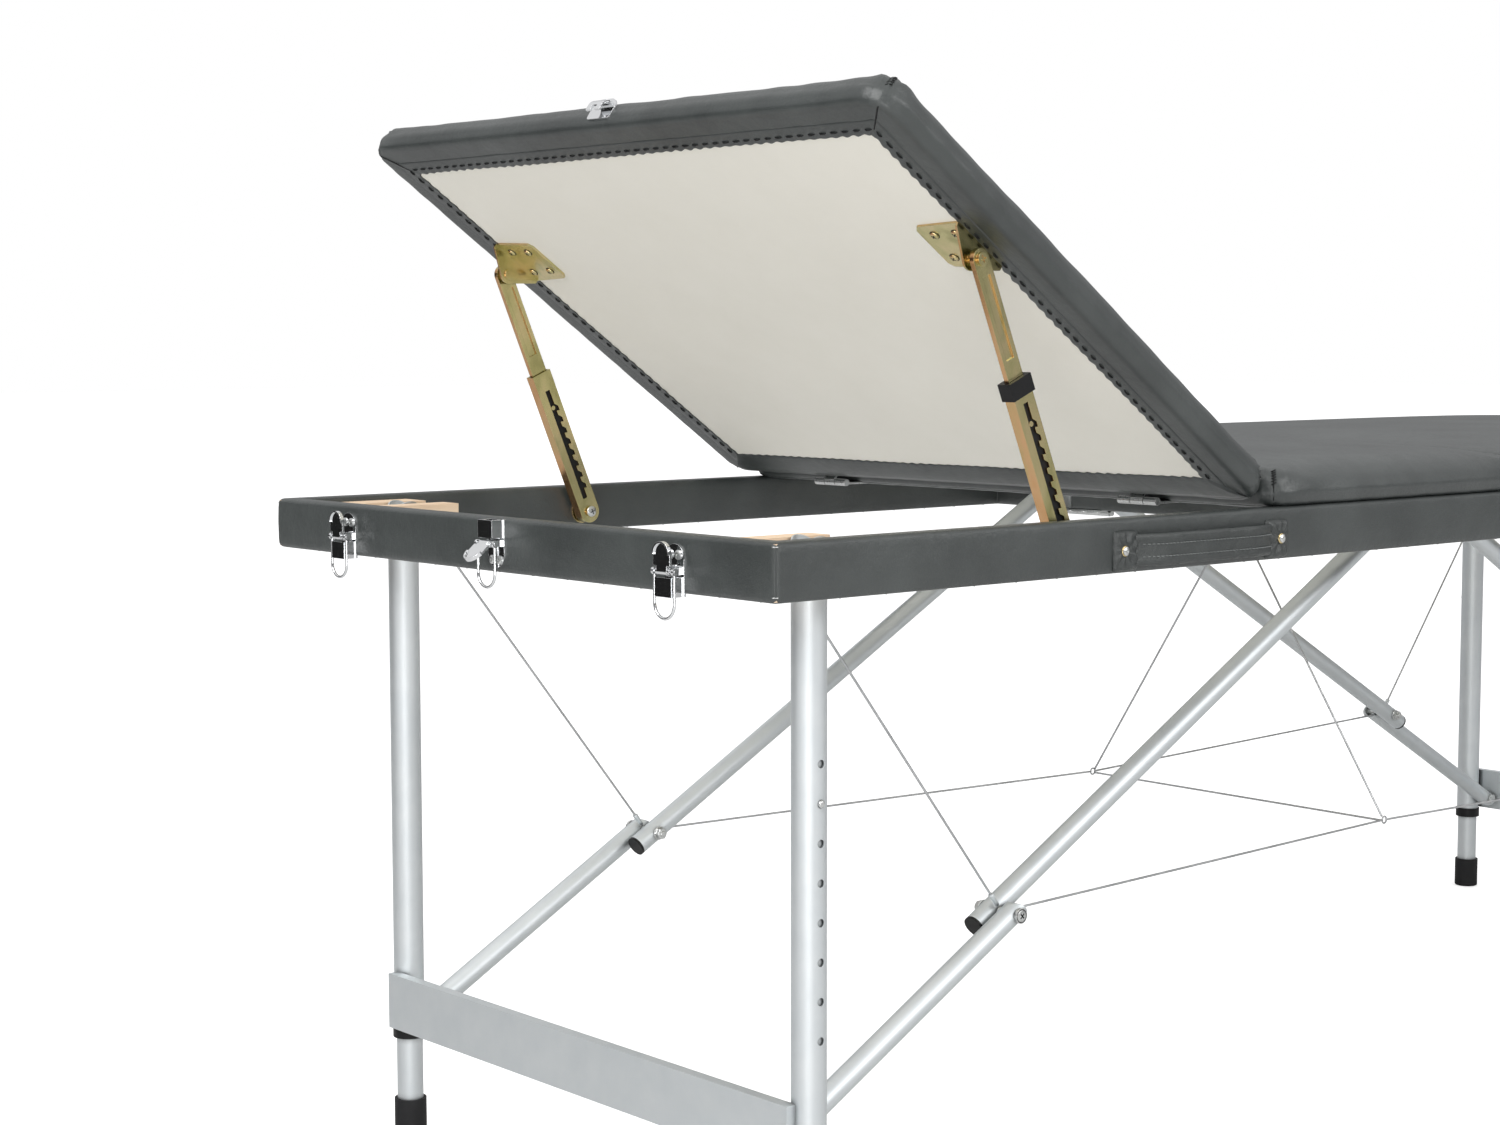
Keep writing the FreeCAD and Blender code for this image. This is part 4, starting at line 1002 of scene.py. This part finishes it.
def rope_mesh(name, start, end):
    """A laid wire rope: six round strands twisted about its line."""
    length = (end - start).length
    ahead = (end - start).normalized()
    side = ahead.orthogonal().normalized()
    other = ahead.cross(side)
    around = STRANDS * 4
    lobes = [abs(cos(STRANDS * pi * k / around)) for k in range(around)]
    rows = max(8, round(length / (1.8 * MM)))
    points = []
    for n in range(rows + 1):
        along = length * n / rows
        twist = 2 * pi * along / LAY_LENGTH
        ring = spokes(ahead, around, side * cos(twist) + other * sin(twist))
        middle = start + ahead * along
        points += [middle + spoke * CABLE_RADIUS * (0.80 + 0.20 * lobe) for spoke, lobe in zip(ring, lobes)]
    return mesh_piece(name, points, tube_faces(around, rows + 1), MATERIALS["wire_rope"])


def crimp(place, ahead):
    """A pressed sleeve on a cable's end, flared at the mouth."""
    profile = in_mm((1.2, 0), (1.9, 0.4), (2.0, 3), (1.8, 5), (2.3, 8), (2.5, 12), (2.1, 13), (1.2, 13))
    return lathe("crimp", place, ahead, profile, MATERIALS["aluminium"], 16)


def cable_runs():
    """Name, start and end of each straight run, and whether it starts in a pressed sleeve."""
    runs = []
    gap = 3 * MM
    for half, sign in HALVES:
        for side, turn in SIDES:
            knee = Vector((-sign * KNEE_X, turn * CABLE_Y, KNEE_Z))
            top = Vector((sign * LEG_EYE.x, turn * LEG_EYE.y, LEG_EYE.z))
            near = Vector((sign * gap, turn * JUNCTION.y, JUNCTION.z))
            for run, place in (("leg", top), ("knee", near)):
                start = knee + (place - knee).normalized() * KNEE_EYE
                runs.append((f"{half}_{side}_{run}_cable", start, place, True))
    for side, turn in SIDES:
        start = Vector((0, turn * (JUNCTION.y - gap), JUNCTION.z + gap))
        runs.append((f"{side}_centre_cable", start, Vector((0, turn * CENTRE_EYE.y, CENTRE_EYE.z)), False))
    reach, level = JUNCTION.y - gap, JUNCTION.z - 1 * MM
    runs.append(("cross_cable", Vector((0, -reach, level)), Vector((0, reach, level)), False))
    return runs


def make_cables():
    pieces = []
    for name, start, end, crimped in cable_runs():
        rope = rope_mesh(name, start, end)
        ahead = (end - start).normalized()
        sleeves = []
        if crimped:
            sleeves.append(crimp(start + ahead * 2 * MM, ahead))
            sleeves[0].name = f"{name}_sleeve"
        pieces += [(rope, "wire_rope")] + [(sleeve, "aluminium") for sleeve in sleeves]
    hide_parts("stay_cables")
    ring = torus_mesh("junction_rings", [JUNCTION, Vector((0, -JUNCTION.y, JUNCTION.z))], 3.4 * MM, 0.9 * MM)
    pieces.append((ring, "wire_rope"))
    for piece, finish in pieces:
        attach(piece, "foot_frame" if piece.name.startswith("foot_") else "head_frame")
        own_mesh(piece)


def torus_mesh(name, centres, major, minor):
    """Wire rings that lie in the X-Z plane."""
    points, faces = [], []
    turns, around = 20, 8
    wire_axis = Vector((0, 1, 0))
    for centre in centres:
        base = len(points)
        for spoke in spokes(-wire_axis, turns, Vector((1, 0, 0))):
            for roll in (2 * pi * k / around for k in range(around)):
                reach = major + minor * cos(roll)
                points.append(centre + spoke * reach + wire_axis * minor * sin(roll))
        faces += [tuple(base + k for k in face) for face in loops_to_faces(around, turns, closed_rows=True)]
    return mesh_piece(name, points, faces, MATERIALS["wire_rope"])


# ---------------- welds and small trim
BAR_TOP, BAR_BOTTOM = 155.6 * MM, 105.6 * MM
BEAD_BACK, BEAD_IN = 3.4 * MM, 6.8 * MM
NUT_IN = 9.4 * MM


def make_welds(half, sign):
    """A rippled bead down each end of the crossbar, where it meets its leg."""
    x = sign * (abs(LEG_X) + LEG_RADIUS - BEAD_BACK)
    steps = 34
    parts = []
    for turn in (-1, 1):
        y = turn * (LEG_Y - BEAD_IN)
        path, taper = [], []
        for n in range(steps + 1):
            z = BAR_BOTTOM + 2 * MM + (BAR_TOP - BAR_BOTTOM - 4 * MM) * n / steps
            path.append((x, y + 0.35 * MM * sin(n * 2.4), z))
            taper.append((0.82 + 0.18 * cos(n * pi)) * (0.4 if n in (0, steps) else 1.0))
        parts.append(solid_tube("bead", path, 2.6 * MM, MATERIALS["aluminium"], 10, taper))
    beads = join(f"{half}_weld_beads", parts)
    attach(beads, f"{half}_legs")


def hex_nut(name, centre, axis, across_flats, height, material):
    """A chamfered nut with its bolt's end in it."""
    axis = Vector(axis).normalized()
    around = 24
    ring = spokes(axis, around, Vector((0, 0, 1)))
    flat = across_flats / 2
    sixth = pi / 3
    turned = [(2 * pi * k / around + sixth / 2) % sixth - sixth / 2 for k in range(around)]
    hexagon = [flat / cos(angle) for angle in turned]
    bolt, bolt_tip = [2.9 * MM] * around, [2.3 * MM] * around
    rows = [(0.0, hexagon), (height * 0.82, hexagon), (height, [flat * 0.95] * around)]
    rows += [(height, bolt), (height + 1.2 * MM, bolt), (height + 1.7 * MM, bolt_tip)]
    points = []
    for distance, reaches in rows:
        middle = Vector(centre) + axis * distance
        points += [middle + spoke * reach for spoke, reach in zip(ring, reaches)]
    return mesh_piece(name, points, tube_faces(around, len(rows)), material, smooth=False)


def make_knee_nuts(half, sign):
    """The nut and washer on the inner side of each upper brace's knee."""
    washer = in_mm((3.0, 0), (6.4, 0), (6.6, 0.4), (6.4, 0.9), (3.0, 0.9))
    zinc = MATERIALS["zinc_steel"]
    parts = []
    for turn in (-1, 1):
        inward = Vector((0, -turn, 0))
        centre = Vector((-sign * KNEE_X, turn * (UPPER_BRACE_Y - NUT_IN), KNEE_Z))
        parts.append(lathe("washer", centre, inward, washer, zinc))
        parts.append(hex_nut("nut", centre + inward * 0.9 * MM, inward, 10 * MM, 5 * MM, zinc))
    nuts = join(f"{half}_knee_nuts", parts)
    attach(nuts, f"{half}_upper_braces")


# ---------------- strut trim
STRUT_FOOT = Vector(JOINTS["strut_swing"]["pos_m"])
STRUT_WAY = Vector(JOINTS["strut_extend"]["axis"]).normalized()
STRUT_Y = 313.0 * MM


def slab(name, centre, along, across, half_sizes, material):
    """A thin closed strip with clipped corners, long along one direction."""
    along, across = along.normalized(), across.normalized()
    thick = along.cross(across)
    a, b, c = half_sizes
    clip = min(a, b) * 0.3
    plan = [(-a, -b + clip), (-a + clip, -b), (a - clip, -b), (a, -b + clip)]
    plan += [(a, b - clip), (a - clip, b), (-a + clip, b), (-a, b - clip)]
    points = [centre + along * u + across * v + thick * w for w in (-c, c) for u, v in plan]
    return mesh_piece(name, points, tube_faces(len(plan), 2), material, smooth=False)


def cross_head(parts, place, outward, radius, height, metal):
    """A domed screw head with a cross slot and the dark line round its seat: the dark ring and the dark strips in
    the slot are painted shade.
    """
    rim, line = radius * 0.9, radius * 1.16
    seat = [(rim, -0.2 * MM), (line, 0), (line, 0.15 * MM), (rim, 0.2 * MM)]
    dome = [(radius, 0), (radius, height * 0.35), (radius * 0.85, height * 0.75), (radius * 0.45, height)]
    # Painted shade: a thin dark ring where the head meets its seat.
    parts.append(lathe("seat", place, outward, seat, THREAD_AND_SHADE))
    parts.append(lathe("dome", place, outward, dome, metal))
    side = outward.orthogonal().normalized()
    middle = place + outward * (height * 0.86)
    slot = (radius * 0.55, radius * 0.13, height * 0.2)
    # Painted shade: two dark strips stand in the cross slot for the shade in the recess.
    for way in (side, outward.cross(side)):
        parts.append(slab("drive", middle, way, outward.cross(way), slot, THREAD_AND_SHADE))


# Each bracket's screws under the backrest: (along the backrest, from its middle line), in millimetres.
BRACKET_SCREWS = ((-15, 268), (14, 266), (-16, 292), (15, 293))
BRACKET_X = HINGE.x - 375 * MM


def make_screw_heads():
    """Heads of the bracket screws under the backrest, and of the knee screws on the lower braces."""
    heads = []
    z = FRAME_TOP + BACKREST_LIFT - 2.1 * MM
    for turn in (-1, 1):
        for dx, y in BRACKET_SCREWS:
            place = Vector((BRACKET_X + dx * MM, turn * y * MM, z))
            cross_head(heads, place, Vector((0, 0, -1)), 3.8 * MM, 2.0 * MM, MATERIALS["yellow_zinc"])
    piece = move_mesh(join("bracket_screw_heads", heads), LIFT_BACKREST)
    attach(piece, "backrest")
    for half, sign in HALVES:
        heads = []
        for turn in (-1, 1):
            place = Vector((-sign * KNEE_X, turn * KNEE_CAP_Y, KNEE_Z))
            cross_head(heads, place, Vector((0, turn, 0)), 5.0 * MM, 0.8 * MM, MATERIALS["zinc_steel"])
        piece = join(f"{half}_knee_screw_heads", heads)
        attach(piece, f"{half}_lower_braces")


def make_strut_trim():
    """Dark strips inside the channels behind their toothed slots, painted shade for the dark inside the channels,
    and bright bolt heads at the feet with dark strips, also painted shade, in their cross slots.
    """
    slot_shade_strips, bolts = [], []
    sideways = Vector((0, 1, 0))
    across = STRUT_WAY.cross(sideways)
    dome = in_mm((5.3, 0), (5.4, 0.5), (4.9, 1.2), (3.6, 1.8), (1.6, 2.1))
    slot_shade_strip, slot = (60 * MM, 7.5 * MM, 0.3 * MM), (2.7 * MM, 0.5 * MM, 0.45 * MM)
    for turn in (-1, 1):
        foot = Vector((STRUT_FOOT.x, turn * STRUT_Y, STRUT_FOOT.z))
        for shift in (-1, 1):
            # Painted shade: two black strips behind each toothed slot stand for the shade inside the channel.
            centre = foot + sideways * shift * 2.85 * MM + STRUT_WAY * 73 * MM
            slot_shade_strips.append(slab("slot_shade_strip", centre, STRUT_WAY, across, slot_shade_strip, MATERIALS["black_plastic"]))
        inward = sideways * -turn
        place = foot + inward * 7.1 * MM
        bolts.append(lathe("bolt", place, inward, dome, MATERIALS["zinc_steel"]))
        # Painted shade: two dark strips stand in the bolt's cross slot for the shade in the recess.
        for way in (STRUT_WAY, across):
            middle = place + inward * 1.75 * MM
            bolts.append(slab("drive", middle, way, way.cross(sideways), slot, THREAD_AND_SHADE))
    for name, parts, body, finish in (
        ("strut_slot_shade_strips", slot_shade_strips, "strut_channels", "black_plastic"),
        ("strut_foot_bolts", bolts, "head_frame", "zinc_steel"),
    ):
        piece = join(name, parts)
        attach(piece, body)


# ---------------- studio
CAMERA_PLACE = (-2.13504, -1.71688, 0.73543)
CAMERA_YAW, CAMERA_PITCH, CAMERA_ROLL = 49.357, -4.979, -0.0985
CAMERA_LENS = 62.6


def make_camera():
    data = bpy.data.cameras.new("camera")
    data.sensor_width = 36.0
    data.lens = CAMERA_LENS
    data.clip_start = 0.05
    data.clip_end = 100.0
    camera = put("camera", data)
    yaw, pitch = radians(CAMERA_YAW), radians(CAMERA_PITCH)
    ahead = Vector((cos(pitch) * cos(yaw), cos(pitch) * sin(yaw), sin(pitch)))
    turn = ahead.to_track_quat("-Z", "Y").to_matrix().to_4x4()
    roll = Matrix.Rotation(radians(CAMERA_ROLL), 4, "Z")
    camera.matrix_world = Matrix.Translation(CAMERA_PLACE) @ turn @ roll
    bpy.context.scene.camera = camera


def area_light(name, place, target, size, power):
    data = bpy.data.lights.new(name, "AREA")
    data.shape = "RECTANGLE"
    data.size, data.size_y = size
    data.energy = power
    light = put(name, data)
    light.location = place
    light.rotation_mode = "QUATERNION"
    light.rotation_quaternion = (Vector(target) - Vector(place)).to_track_quat("-Z", "Y")


WALL_STOPS = [
    (0.0, (0.30, 0.30, 0.30)),
    (0.49, (0.20, 0.20, 0.205)),
    (0.56, (0.26, 0.26, 0.265)),
    (0.70, (0.62, 0.62, 0.63)),
    (0.90, (0.95, 0.95, 0.95)),
]


def make_world():
    """A studio that looks white, but is bright above and dim at the walls for the surfaces it lights."""
    world = bpy.data.worlds.new("studio")
    bpy.context.scene.world = world
    world.use_nodes = True
    tree = world.node_tree
    background = tree.nodes["Background"]
    walls = ramp(tree, span(tree, split(tree, "Generated", "Z"), 0.0, 1.0, -1.0), WALL_STOPS)
    seen = tree.nodes.new("ShaderNodeLightPath").outputs["Is Camera Ray"]
    feed(background, Color=mix_colours(tree, seen, walls, (1, 1, 1)))
    background.inputs["Strength"].default_value = 1.0


def make_floor():
    """A floor that looks white, and is grey for the light it bounces."""
    size = 30.0
    corners = [(-size, -size, 0), (size, -size, 0), (size, size, 0), (-size, size, 0)]
    material, tree, shader = new_material("floor")
    grain = noise_texture(tree, coordinates(tree), 3.0)
    white = two_tone(tree, grain, (0.90, 0.90, 0.90), (0.92, 0.92, 0.92))
    seen = tree.nodes.new("ShaderNodeLightPath").outputs["Is Camera Ray"]
    feed(shader, Base_Color=mix_colours(tree, seen, (0.62, 0.62, 0.62), white))
    shader.inputs["Roughness"].default_value = 0.9
    shader.inputs["Emission Color"].default_value = (1, 1, 1, 1)
    feed(shader, Emission_Strength=span(tree, seen, 0.0, 0.5))
    floor = mesh_piece("floor", corners, [(0, 1, 2, 3)], material, smooth=False)
    floor.location.z = -0.2 * MM


def make_dark_card():
    """A black card out of view, which the chrome on the end rail mirrors."""
    centre = Vector((-2.75, 1.95, 0.55))
    across = Vector((0.756, 0.648, 0)) * 1.15
    up = Vector((0, 0, 0.75))
    corners = [centre - across - up, centre + across - up, centre + across + up, centre - across + up]
    black = plastic_material("black_card", (0.01, 0.01, 0.01), 0.9)
    card = mesh_piece("dark_card", corners, [(0, 1, 2, 3)], black, smooth=False)
    card.visible_camera = False
    card.visible_shadow = False


def make_studio():
    make_camera()
    make_world()
    make_floor()
    make_dark_card()
    area_light("key", (-3.4, -0.6, 2.6), (-0.5, 0, 0.5), (2.0, 2.0), 70)
    area_light("fill", (0.4, -3.2, 1.9), (-0.3, 0, 0.5), (2.6, 1.0), 36)
    area_light("low", (-2.6, -2.2, 0.15), (-0.6, 0, 0.6), (1.6, 0.8), 20)
    scene = bpy.context.scene
    scene.view_settings.view_transform = "Standard"
    scene.view_settings.look = "None"


# ---------------- the whole table
dress_nodes()
make_pads()
for half, sign in HALVES:
    make_cover(half, sign)
    make_staples(half)
    make_handle(half, sign)
    make_welds(half, sign)
    make_knee_nuts(half, sign)
make_cables()
make_strut_trim()
make_screw_heads()
make_studio()
